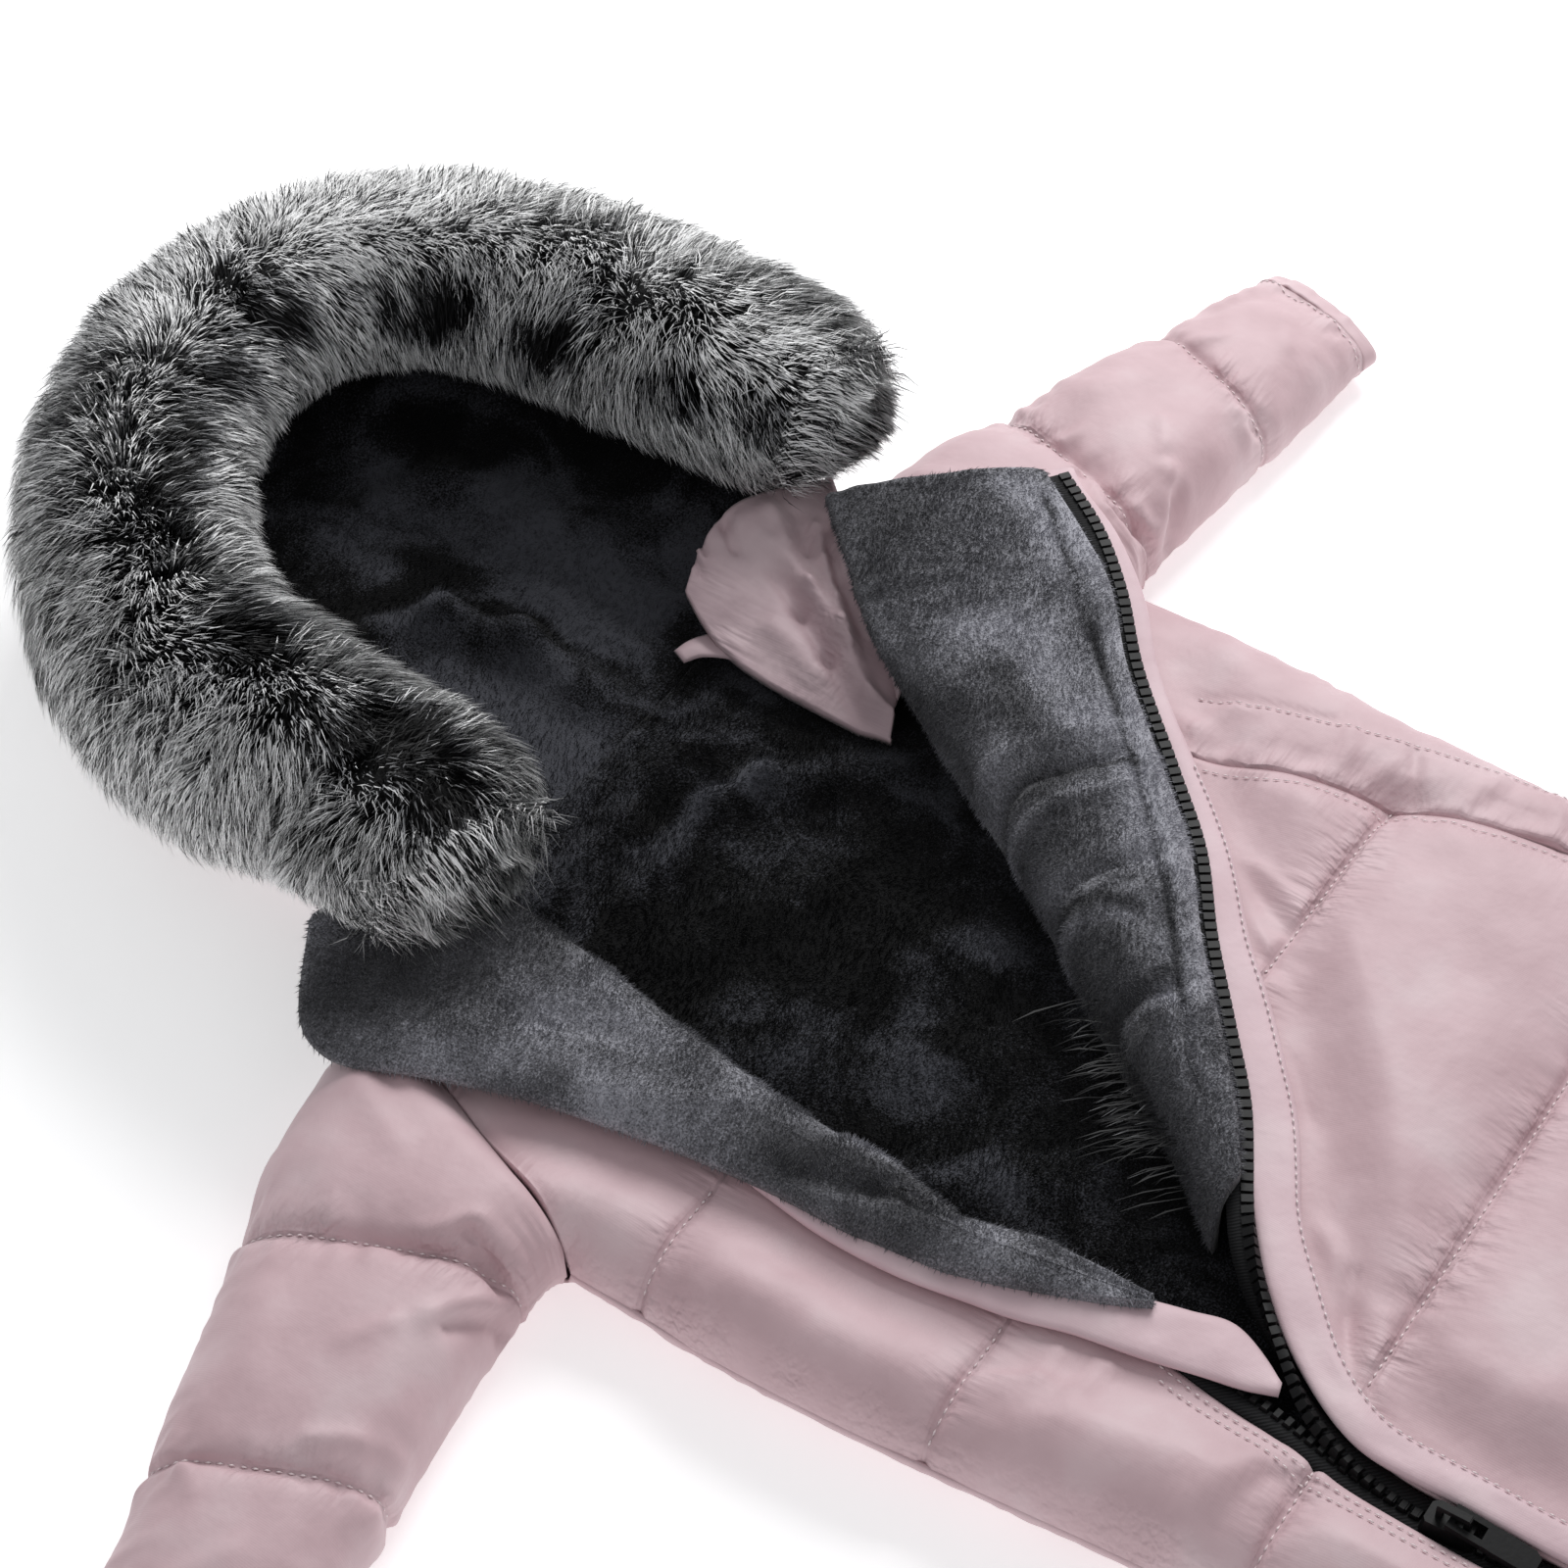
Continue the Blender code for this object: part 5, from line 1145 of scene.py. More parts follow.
def zip_tapes():
    """Both zip tapes; returns the toothed edge of the right one."""
    table, _, cross, normal = left_tape_frames(TAPE_ROWS)
    piece = tape("left", table[:, :3], table[:, :3] + cross * table[:, 3:4], normal)

    rows = ROWS[(ROWS >= ZIP_END_Y) & (ROWS <= RIGHT_TAPE_TOP_Y)]
    outer_x = column(RIGHT_EDGE, rows) + SEAM_GAP
    inner_x = np.where(rows < FORK_Y, column(ZIP_LINE, rows) - SEAM_GAP, outer_x + 6.4)
    base = TAPE_Z + 3.0 * ease((rows + 240) / 40)
    outer = np.column_stack([outer_x, rows, base])
    inner = np.column_stack([inner_x, rows, base])
    up = np.tile((0.0, 0.0, 1.0), (len(rows), 1))
    piece = tape("right", inner, outer, up)
    return inner


TOOTH_PITCH = 4.0
TOOTH_LENGTH, TOOTH_WIDTH, TOOTH_HEIGHT = 3.8, 2.8, 1.6
# columns: share of the length, of the width and of the height from the tape's middle
TOOTH_RINGS = ((1.0, 1.0, -1.0), (1.0, 1.0, 0.45), (0.72, 0.66, 1.0))
# corners of a tooth's faces, counted ring by ring from its foot
TOOTH_FACES = (
    (0, 1, 5, 4), (1, 2, 6, 5), (2, 3, 7, 6), (3, 0, 4, 7), (4, 5, 9, 8), (5, 6, 10, 9),
    (6, 7, 11, 10), (7, 4, 8, 11), (8, 9, 10, 11), (3, 2, 1, 0),
)
# No tooth shows this near the slider's middle.
SLIDER_CLEAR = 9.0


def zip_teeth(lines):
    """Moulded teeth along the tapes' edges: each a block with a drawn-in top."""
    middle, way, cross, normal = (np.concatenate(rows) for rows in zip(*lines))
    points = []
    for long_share, wide_share, high in TOOTH_RINGS:
        for a, b in ((-1, -1), (-1, 1), (1, 1), (1, -1)):
            corner = middle + cross * a * long_share * TOOTH_LENGTH / 2
            points.append(corner + way * b * wide_share * TOOTH_WIDTH / 2 + normal * high * TOOTH_HEIGHT)
    faces = repeated(len(middle), len(points), TOOTH_FACES)
    piece = new_piece("zip_teeth", np.stack(points, axis=1), faces, ACETAL)
    piece.data.set_sharp_from_angle(angle=math.radians(35))
    return wear(piece, "black_acetal")


def even_places(points, pitch, start):
    """Shares of a path's index at even steps along it."""
    way = way_along(points)
    return np.interp(np.arange(start, way[-1], pitch), way, np.arange(len(points)))


def picked(rows, places):
    """Rows of a table at fractional places."""
    low = np.clip(np.floor(places).astype(int), 0, len(rows) - 2)
    share = (places - low)[:, None]
    return rows[low] * (1 - share) + rows[low + 1] * share


def tooth_frames(frames, start):
    """Middles and directions picked at each tooth's place, except where the slider stands."""
    places = even_places(frames[0], TOOTH_PITCH, start)
    frames = [picked(rows, places) for rows in frames]
    keep = np.abs(frames[0][:, 1] - SLIDER_Y) > SLIDER_CLEAR
    return [rows[keep] for rows in frames]


def teeth_lines(right_inner):
    """Where the teeth of both tapes stand: their middles, and the ways along, across and off the tape."""
    table, way, cross, normal = left_tape_frames(TEETH_ROWS)
    left = tooth_frames((table[:, :3] - cross * 0.3 + normal * 0.1, way, cross, normal), 2.0)
    edge = right_inner[::-1]
    way = unit(np.gradient(edge, axis=0))
    up = np.tile((0.0, 0.0, 1.0), (len(edge), 1))
    cross = np.cross(up, way)
    return left, tooth_frames((edge + cross * 0.3 + up * 0.1, way, cross, up), 0.0)


# How far a fibre is from its middle to its edge at the root, and how long it is on each plush.
FIBRE_HALF = 0.22
GREY_FIBRE, DARK_FIBRE = 2.5, 3.2
# columns: how many fibres stand on the surface, which way its nap is stroked
FIBRES = {
    "facing_left": (62000, (-0.35, -0.45, 0)), "facing_right": (46000, (-0.45, -0.30, 0)),
    "lining": (46000, (0.1, -0.5, 0)), "hood": (28000, (0.2, -0.4, 0)),
}
# Steps of a facing's section that fibres stand on: its top and the start of its underside.
FACING_FIBRE_STEPS = 40


def plush_fibres(name, grid, weight, seed):
    """Short fibres standing on a plush surface, each one triangle, all stroked one way by the nap."""
    count, nap = FIBRES[name]
    grey = name.startswith("facing")
    rng = np.random.default_rng(seed)
    normals = grid_normals(grid)
    edges = grid[1:, :-1] - grid[:-1, :-1], grid[:-1, 1:] - grid[:-1, :-1]
    chance = (np.linalg.norm(np.cross(*edges), axis=-1) * weight[:-1, :-1]).ravel()
    pick = rng.choice(len(chance), count, p=chance / chance.sum())
    count = len(pick)
    i, j = np.divmod(pick, grid.shape[1] - 1)
    f, g = rng.uniform(0, 1, (2, count, 1))

    def at(values):
        near = values[i, j] * (1 - f) + values[i + 1, j] * f
        far = values[i, j + 1] * (1 - f) + values[i + 1, j + 1] * f
        return near * (1 - g) + far * g

    root, up = at(grid), at(normals)
    x, y = root[:, 0], root[:, 1]
    stroke = np.stack([soft_noise(x / 13, y / 11, seed), soft_noise(x / 13, y / 11, seed + 1), 0 * x], axis=1)
    way = unit(up * 0.75 + np.array(nap) + 0.55 * stroke + rng.normal(0, 0.2, (count, 3)))
    side = unit(np.cross(way, rng.normal(0, 1, (count, 3))))
    root = root - up * 0.4
    tip = root + way * (GREY_FIBRE if grey else DARK_FIBRE) * rng.uniform(0.65, 1.25, (count, 1))
    points = np.stack([root - side * FIBRE_HALF, root + side * FIBRE_HALF, tip], axis=1)
    # Fibres on the lining and the hood take the near-black plush with its painted shade.
    material, slot = (GREY_PLUSH, "grey_plush") if grey else (DARK_PLUSH_WITH_PAINTED_SHADE, "dark_plush")
    piece = new_piece(f"{name}_fibres", points, repeated(count, 3, ((0, 1, 2),)), material)
    stored_nap_and_painted_light(piece, FACING_NAP_AND_PAINTED_LIGHT if grey else LINING_NAP_AND_PAINTED_LIGHT)
    return wear(piece, slot)


def all_fibres(facing_grids, lining, lining_open, bowl):
    for name, (grid, top_side) in zip(("facing_left", "facing_right"), facing_grids):
        plush_fibres(name, grid[:FACING_FIBRE_STEPS], top_side[:FACING_FIBRE_STEPS] + 0.25, 301)
    plush_fibres("lining", lining, lining_open + 0.001, 311)
    plush_fibres("hood", bowl, np.ones(bowl.shape[:2]), 321)


# ---------------------------------------------------------------- sewing


TOPSTITCH_INSETS = (2.6, 6.4)
RIGHT_TOPSTITCH_TOP_Y = -166.0
PRINCESS_TOPSTITCH_TOP_Y = -62.0
# The line of stitches down the side strip, beside its princess seam.
STRIP_STITCH_TOP_Y, STRIP_STITCH_LOW_Y = -44.0, -300.0
# The placket's ring of points that its topstitch follows.
PLACKET_EDGE_RING = 8
PLACKET_STITCH_TOP_Y = -60.0
THREAD_STEP, THREAD_LONG = 3.4, 2.7
STITCH_FACES = ((0, 2, 1), (0, 3, 2), (0, 4, 3), (0, 1, 4), (5, 1, 2), (5, 2, 3), (5, 3, 4), (5, 4, 1))


def stitches(name, lines, lift=0.45, half=0.42):
    """Rows of short thread along lines on the cloth, each stitch a slim lozenge."""
    points = []
    for line in lines:
        places = even_places(line, THREAD_STEP, THREAD_STEP / 2)
        if len(places) < 2:
            continue
        middle = picked(line, places) + np.array([0, 0, lift])
        ahead = picked(line, np.minimum(places + 0.4, len(line) - 1.001))
        way = unit(ahead - picked(line, np.maximum(places - 0.4, 0)))
        side = unit(np.cross(way, (0.0, 0.0, 1.0)))
        up = np.cross(side, way)
        end, dip = way * THREAD_LONG / 2, up * half * 0.4
        points.append(np.stack([
            middle - end - dip, middle + side * half, middle + up * half * 0.7,
            middle - side * half, middle - up * half, middle + end - dip,
        ], axis=1))
    points = np.concatenate(points)
    return wear(new_piece(name, points, repeated(len(points), 6, STITCH_FACES), THREAD), "pink_nylon")


def across_at(grid, place):
    """Where a grid's rows cross a line that is given as x for each row."""
    line = []
    for row, x in zip(np.moveaxis(grid, 1, 0), place):
        order = np.argsort(row[:, 0])
        line.append([x] + [np.interp(x, row[order, 0], row[order, k]) for k in (1, 2)])
    return np.array(line)


def sewing(front_grids, placket_rings, sleeve_lines):
    """The stitch lines that show: quilting, the topstitches beside edges, and the hems."""
    quilting_lines = []
    for name in ("front_right", "front_left"):
        grid = front_grids[name]
        for line in STITCH_LINES:
            at = np.abs(ROWS[:grid.shape[1]] - line).argmin()
            if abs(ROWS[at] - line) < 1:
                row = grid[:, at]
                _, clear = room_for_puffs(row[:, 0], np.full(len(row), line))
                shown = (clear > 1.5) & (row[:, 2] > SIDE_SEAM_Z + 3)
                if shown.sum() > 4:
                    quilting_lines.append(row[shown])
    stitches("quilting_stitches", quilting_lines)
    stitches("sleeve_stitches", sleeve_lines)

    edging = []
    at = (ROWS > ZIP_END_Y) & (ROWS < RIGHT_TOPSTITCH_TOP_Y)
    for inset in TOPSTITCH_INSETS:
        edging.append(across_at(front_grids["front_right"][:, at], column(RIGHT_EDGE, ROWS[at]) - inset))
    left = front_grids["front_left"]
    rows = ROWS[:left.shape[1]]
    at = rows < PRINCESS_TOPSTITCH_TOP_Y
    edging.append(across_at(left[:, at], column(PRINCESS_SEAM, rows[at]) - 6))
    side = front_grids["side_left"]
    at = (ROWS < STRIP_STITCH_TOP_Y) & (ROWS > STRIP_STITCH_LOW_Y)
    beside_seam = 27 + 0.02 * (ROWS[at] - STRIP_STITCH_TOP_Y)
    edging.append(across_at(side[:, at], column(PRINCESS_SEAM, ROWS[at]) + beside_seam))
    outer_edge = placket_rings[PLACKET_EDGE_RING]
    edging.append(outer_edge[outer_edge[:, 1] < PLACKET_STITCH_TOP_Y])
    stitches("edge_stitches", edging, lift=0.6, half=0.4)


# ---------------------------------------------------------------- neck guard and hood


GUARD_ROWS, GUARD_COLUMNS = 76, 52
# How far the guard's top edge swells out towards the hood, and up.
GUARD_SWELL, GUARD_RISE = 11, 4
# columns: share of the tab's half width, height over its middle
GUARD_TAB_RING = (
    (1.0, 0.0), (0.72, 0.9), (0.0, 1.4), (-0.72, 0.9), (-1.0, 0.0), (-0.72, -0.6), (0.0, -0.9), (0.72, -0.6),
)


def neck_guard():
    """The crumpled nylon between the fur's left end and the lapel, one long fold across it."""
    down = np.linspace(0, 1, GUARD_ROWS)
    table = along(NECK_GUARD, down)
    shares = np.linspace(0, 1, GUARD_COLUMNS)[:, None, None]
    grid = table[:, :3] + (table[:, 3:] - table[:, :3]) * shares
    across = np.broadcast_to(shares[..., 0], grid.shape[:2])
    calm = np.sin(math.pi * np.clip(across, 0.03, 0.97)) ** 0.4
    x, y = grid[..., 0], grid[..., 1]
    crumple = uneven(x, y, 121, (0.7, 14, 16), (0.35, 6, 7))
    rise = 2.6 * np.sin(math.pi * across) + (1.5 * creases(x, y, GUARD_CREASES) + crumple) * calm + 0.8
    # Its top edge swells out under the fur's end.
    swell = np.sin(math.pi * across) * ease((down - 0.72) / 0.28)
    grid[..., 1] += GUARD_SWELL * swell
    grid[..., 2] += rise + GUARD_RISE * swell
    # Its right edge turns down on the lining, and its left edge runs up to its seam under the lapel.
    turned_down = grid[:1] + np.array([0.8, 0, -4.0])
    run_up = grid[-1:] + np.array([0.8, -0.6, 0])
    run_up[..., 2] = np.maximum(np.minimum(run_up[..., 2] + 8, 46.0), run_up[..., 2])
    grid = np.concatenate([turned_down, grid, run_up])
    # The guard's nylon is painted darker as shade from the hood.
    piece = wear(shell("neck_guard_nylon", grid, GUARD_NYLON_PAINTED_SHADE, thick=1.6), "pink_nylon_band", "neck_guard")
    x, y = plan_of(piece)
    gathered(piece, 12 + 8 * soft_noise(x / 17, y / 17, 127), 13 + 8 * soft_noise(x / 15, y / 19, 128))


def guard_tab():
    """A folded end of the guard's nylon that peeps out under its left corner, narrower towards its tip."""
    way = np.linspace(0, 1, 20)
    middle = along(GUARD_TAB, way)
    side = side_normals(middle)
    half = (9.0 - 5.5 * way)[:, None]
    ripple = 0.8 * np.sin(9 * way)
    rings = []
    for reach, high in GUARD_TAB_RING:
        top = middle[:, 2] + high + ripple * (1 - abs(reach))
        rings.append(np.column_stack([middle[:, :2] + side * half * reach, top]))
    rings = np.array(rings)
    # The tab shares the guard's nylon with its painted shade.
    tab = wear(closed_strip("guard_tab_nylon", rings, GUARD_NYLON_PAINTED_SHADE), "pink_nylon_band")


def hood_plan(across, up):
    """A point of the hood in plan: across from the right rim to the left, up from neck to crown."""
    right = along(RIM, CROWN_FROM * up)
    left = along(RIM, 1 - (1 - CROWN_TO) * up)
    crown = along(RIM, CROWN_FROM + (CROWN_TO - CROWN_FROM) * across)
    neck_x = RIM[0][0] + (RIM[-1][0] - RIM[0][0]) * across
    neck_y = np.maximum(neck_line(neck_x), SHOULDER_Y + 9) + 2 * SEAM_GAP
    blend_right = 1 - ease((neck_x - RIM[0][0]) / 14)
    blend_left = 1 - ease((RIM[-1][0] - neck_x) / 40)
    neck_y = neck_y + blend_right * (RIM[0][1] - neck_y) + blend_left * (RIM[-1][1] - neck_y)
    neck = np.stack([neck_x, neck_y], axis=-1)
    a, u = across[..., None], up[..., None]
    at_neck = (1 - a) * (1 - u) * RIM[0] + a * (1 - u) * RIM[-1]
    corners = at_neck + (1 - a) * u * along(RIM, CROWN_FROM) + a * u * along(RIM, CROWN_TO)
    return (1 - a) * right + a * left + (1 - u) * neck + u * crown - corners


def hood_depth(plan):
    """Height of the hood's outside over the floor, a bowl that rises to its rim."""
    gap = distance_to(along(RIM, np.linspace(0, 1, 60)), plan[..., 0], plan[..., 1])
    return RIM_Z * np.clip(1 - gap / HOOD_BOWL, 0, 1) ** 1.8


def hood_grid(low, high, count, lift):
    """Points of the hood between two shares of its width, lifted off its outside."""
    rows = 1 - (1 - np.linspace(0, 1, HOOD_ROWS)) ** 1.15
    across, up = np.meshgrid(np.linspace(low, high, count), rows, indexing="ij")
    plan = hood_plan(across, up)
    return np.concatenate([plan, (hood_depth(plan) + lift)[..., None]], axis=-1)


def hood():
    """Three nylon panels outside and a plush bowl inside; returns the bowl's grid."""
    gap = SEAM_GAP / (RIM[-1][0] - RIM[0][0])
    names = ("hood_right", "hood_centre", "hood_left")
    for number, (name, start, end) in enumerate(zip(names, HOOD_SEAMS, HOOD_SEAMS[1:])):
        low, high = start + gap * (start > 0), end - gap * (end < 1)
        grid = hood_grid(low, high, HOOD_COLUMNS, 0)
        x, y = grid[..., 0], grid[..., 1]
        from_seam = np.abs(np.linspace(start, end, HOOD_COLUMNS)[:, None] - np.array(HOOD_SEAMS[1:3])).min(1)
        from_seam = np.broadcast_to(from_seam[:, None] * HOOD_WIDE, x.shape)
        height = puckers(from_seam, y, 131 + number, 0.9, 3.4) + groove(from_seam, 1.2, 2.0)
        height = height + billows(x, y, 141 + number) * 0.8
        grid = raised(grid, -height)
        grid[..., 2] = np.maximum(grid[..., 2], 0)
        piece = wear(shell(f"{name}_nylon", grid, NYLON, inward=True), "pink_nylon", name)
    bowl = hood_grid(0, 1, BOWL_COLUMNS, HOOD_WALL + SEAM_GAP + PLUSH)
    x, y = bowl[..., 0], bowl[..., 1]
    soft = uneven(x, y, 151, (1.0, 22, 24), (0.5, 10, 11))
    bowl[..., 2] += np.maximum(creases(x, y, HOOD_FOLDS) + soft, -1.5)
    # The hood's near-black plush carries painted shade.
    piece = wear(shell("hood_lining_plush", bowl, DARK_PLUSH_WITH_PAINTED_SHADE, thick=3.0), "dark_plush", "hood_lining")
    stored_nap_and_painted_light(piece, LINING_NAP_AND_PAINTED_LIGHT)
    return bowl


# ---------------------------------------------------------------- the fur trim


# The backing's share of the pile's height, and how much of each end of the roll is only pile.
CORE = 0.62
BARE_END = 0.03
CORE_ROWS, CORE_TURNS = 130, 40
PATH_PLACES = 400
PILE_STRETCHES = 4
# Where on the section the pile's crest is.
CREST_TURN = 7.4 / 15
# How far the outermost strands run out past the roll's ends.
PAST_END = 170.0
STRAND_HALF = 0.23
STRANDS, QUICK_STRANDS = 46000, 8000
TUFTS = 997
WISPS = 130
# Shares of the strands that are black to the tip, on the roll and at its ends.
BLACK_SHARE, END_BLACK_SHARE = 0.30, 0.42
# columns: share of the path, turn round the section at the band's middle, half width
DARK_BAND = (
    (0.00, 0.50, 0.05), (0.20, 0.515, 0.05), (0.40, 0.55, 0.055), (0.50, 0.56, 0.055), (0.65, 0.61, 0.06),
    (0.80, 0.61, 0.065), (1.00, 0.57, 0.06),
)


def fur_surface(share, turn):
    """Points of the fur's outside: share along its path, turn from 0 to 1 round its section."""
    path = along(FUR_PATH, share)
    places = np.linspace(0, 1, PATH_PLACES)
    sides = side_normals(along(FUR_PATH, places)).T
    outward = np.stack([np.interp(share, places, side) for side in sides], axis=-1)
    inward, out, low_in, low_out, top = np.moveaxis(smooth(FUR, share), -1, 0)
    section = np.array([s * r for s, r, _ in FUR_SECTION]), np.array([h for _, _, h in FUR_SECTION])
    knots = np.arange(-2, len(FUR_SECTION) + 2) / len(FUR_SECTION)
    wrapped = [np.concatenate([part[-2:], part, part[:2]]) for part in section]
    reach, height = np.moveaxis(smooth(np.column_stack([knots, *wrapped]), turn % 1), -1, 0)
    offset = np.where(reach > 0, reach * out, reach * inward)
    low = low_in + (low_out - low_in) * ease(0.5 + reach)
    z = low + (top - low) * height
    plan = path + outward * offset[..., None]
    middle = np.concatenate([path, ((low_in + top) / 2 - 3)[..., None]], axis=-1)
    return np.concatenate([plan, z[..., None]], axis=-1), middle


def fur_core():
    """The backing under the pile: a dark stuffed roll inside the fur's outside."""
    shares = np.linspace(BARE_END, 1 - BARE_END, CORE_ROWS)
    turns = np.linspace(0, 1, CORE_TURNS, endpoint=False)
    surface, middle = fur_surface(*np.broadcast_arrays(shares, turns[:, None]))
    grid = middle + (surface - middle) * CORE
    piece = wear(closed_strip("fur_backing", grid, FUR_PILE), "faux_fur", "fur_trim")
    frosted(piece, np.full(len(piece.data.vertices), 0.10))


def fur_ribbons(name, root, bend, tip, outward, amount, seed):
    """Strands of two triangles each, from a fine root over their widest part to a sharp tip."""
    rng = np.random.default_rng(seed)
    count = len(root)
    middle = 0.05 * root + 0.5 * bend + 0.45 * tip
    reach = np.linalg.norm(outward, axis=1)[:, None]
    flat = unit(np.cross(tip - root, outward)) + rng.normal(0, 0.3, count)[:, None] * outward / reach
    half = flat * rng.uniform(0.7, 1.3, count)[:, None] * STRAND_HALF
    points = np.stack([root, middle - half, middle + half, tip], axis=1)
    piece = new_piece(name, points, repeated(count, 4, ((0, 2, 1), (1, 2, 3))), FUR_PILE)
    frosted(piece, np.array([0.0, 0.82, 0.82, 1.0]) * amount[:, None])
    # Light scatters from strand to strand, so each is shaded as the outside of the roll is.
    facing = unit(outward / reach + rng.normal(0, 0.22, (count, 3)))
    piece.data.normals_split_custom_set_from_vertices(np.repeat(facing, 4, axis=0))
    return wear(piece, "faux_fur")


def with_black(white, black_share, rng):
    """Whiteness of strands, where some are black to the tip and show between the others."""
    black = rng.uniform(0, 1, len(white)) < black_share
    return np.clip(np.where(black, 0.25 * white, white), 0.05, 1.0)


def frost_amount(share, turn, rng):
    """White on most tips, less in patches and in a dark band where the pile parts."""
    patch = soft_noise(share * 30, turn * 8, 7) + 0.7 * soft_noise(share * 88, turn * 22, 8)
    dark_turn, half_band = np.moveaxis(smooth(DARK_BAND, share), -1, 0)
    band = np.exp(-(((turn - dark_turn) / half_band) ** 2))
    depth = 0.62 + 0.35 * soft_noise(share * 21, turn * 3, 9)
    white = 1.02 + 0.24 * patch - depth * band + rng.normal(0, 0.12, len(share))
    return with_black(white, BLACK_SHARE, rng)


def fur_pile(name, low, high, count, seed):
    """A stretch of the pile: strands in tufts that rise from the backing and lie away from the crest."""
    rng = np.random.default_rng(seed)
    share = rng.uniform(low, high, count)
    turn = rng.uniform(0.02, 0.98, count)
    # Fewer strands where the fur lies on the hood and can't be seen.
    under = (turn < 0.15) | (turn > 0.92)
    keep = ~under | (rng.uniform(0, 1, count) < 0.35)
    share, turn = share[keep], turn[keep]
    count = len(share)

    # Strands of one tuft lean together.
    tuft = (np.floor(share * 110) * 37 + np.floor(turn * 30) * 101).astype(int) % TUFTS
    lean = 0.55 * rng.normal(0, 1, (TUFTS, 3))[tuft] + 0.6 * rng.normal(0, 1, (count, 3))
    sweep = 0.080 * np.tanh((turn - CREST_TURN) * 7) + 0.040 * soft_noise(share * 26, turn * 6, 5)
    sweep = sweep + 0.014 * lean[:, 0]
    drift = 0.016 * np.tanh((share - 0.5) * 5) + 0.010 * soft_noise(share * 24, turn * 5, 6)
    drift = drift + 0.009 * lean[:, 1]
    to_near_end = 0.5 - np.abs(share - 0.5)
    drift = drift + 0.022 * np.sign(share - 0.5) * np.exp(-to_near_end / 0.03)
    root_share = np.clip(share, BARE_END, 1 - BARE_END)
    root, middle = fur_surface(root_share, turn)
    root = middle + (root - middle) * rng.uniform(0.52, 0.62, count)[:, None]
    reach = np.clip(0.97 + 0.045 * lean[:, 2], 0.80, 1.05)
    bend, middle = fur_surface(np.clip(share + 0.3 * drift, 0, 1), turn + 0.35 * sweep)
    bend = middle + (bend - middle) * (0.90 * reach)[:, None]
    tip, middle = fur_surface(np.clip(share + drift, 0, 1), turn + sweep)
    tip = middle + (tip - middle) * reach[:, None]
    # Strands near the roll's ends run out past them.
    for beyond, way in ((-(share + drift), (-0.24, -0.97)), (share + drift - 1, (-0.03, -1.0))):
        tip[:, :2] += np.maximum(beyond, 0)[:, None] * np.array(way) * PAST_END
    fur_ribbons(name, root, bend, tip, tip - middle, frost_amount(share, turn, rng), seed)


def fur_end(name, share, count, seed):
    """The pile over one end of the roll, fanning out along the roll's own direction."""
    rng = np.random.default_rng(seed)
    turn = rng.uniform(0, 1, count)
    from_middle = np.sqrt(rng.uniform(0, 1, count))[:, None]
    start = np.full(count, abs(share - BARE_END))
    surface, middle = fur_surface(start, turn)
    root = middle + (surface - middle) * CORE * from_middle
    tip_surface, tip_middle = fur_surface(np.full(count, share), turn)
    beyond = tip_middle - middle
    fan = 0.2 + 1.1 * from_middle + rng.normal(0, 0.28, (count, 1))
    forward = 1.05 - 0.45 * from_middle**2 + rng.normal(0, 0.3, (count, 1))
    tip = middle + beyond * forward + (tip_surface - tip_middle) * fan
    bend = root + beyond * 0.5 + (surface - middle) * 0.3 * from_middle
    white = 0.85 + 0.35 * soft_noise(turn * 9, from_middle[:, 0] * 3, seed) + rng.normal(0, 0.12, count)
    amount = with_black(white, END_BLACK_SHARE, rng)
    fur_ribbons(name, root, bend, tip, tip - middle + 0.01, amount, seed)


def fur_wisps():
    """Long loose hairs that lie over the lapel's fold into the opening."""
    rng = np.random.default_rng(221)
    place = np.clip(rng.normal(0.45, 0.26, WISPS), 0, 1)
    root = along(WISP_LINE, place) + rng.normal(0, (2.4, 2.4, 0.8), (WISPS, 3))
    long = rng.uniform(11, 25, (WISPS, 1))
    ways = ((-0.62, 0.16), (0.70, 0.2), (-0.16, 0.1))
    way = np.column_stack([rng.normal(middle, varies, WISPS) for middle, varies in ways])
    bend = root + way * long * 0.5 + np.array([0, 0, 3.0])
    tip = root + way * long
    tip[:, 2] = np.maximum(tip[:, 2], 21.0)
    up = np.tile((0.0, 0.0, 1.0), (WISPS, 1))
    fur_ribbons("fur_wisps", root, bend, tip, up, rng.uniform(0.10, 0.42, WISPS), 222)


def fur():
    """The whole trim: backing, four stretches of pile, loose hairs and the pile over both ends."""
    fur_core()
    stretches = np.linspace(0, 1, PILE_STRETCHES + 1)
    strands = STRANDS
    for number, (low, high) in enumerate(zip(stretches, stretches[1:])):
        fur_pile(f"fur_pile_{number + 1}", low, high, strands, 201 + number)
    fur_wisps()
    fur_end("fur_end_right", 0.0, strands // 5, 211)
    fur_end("fur_end_left", 1.0, strands // 5, 212)


# ---------------------------------------------------------------- sleeves


SLEEVE_ROWS = 113
SLEEVE_TOP_STEPS, SLEEVE_UNDER_STEPS = 74, 18
CUFF_ROWS = 6


def sleeve_table(side):
    """One sleeve's table: the wearer's right sleeve lies a little lower than the left one."""
    table = np.asarray(SLEEVE, float)
    if side < 0:
        table[:, 1] -= table[:, 6]
        table[:, 3] -= table[:, 6]
    return table


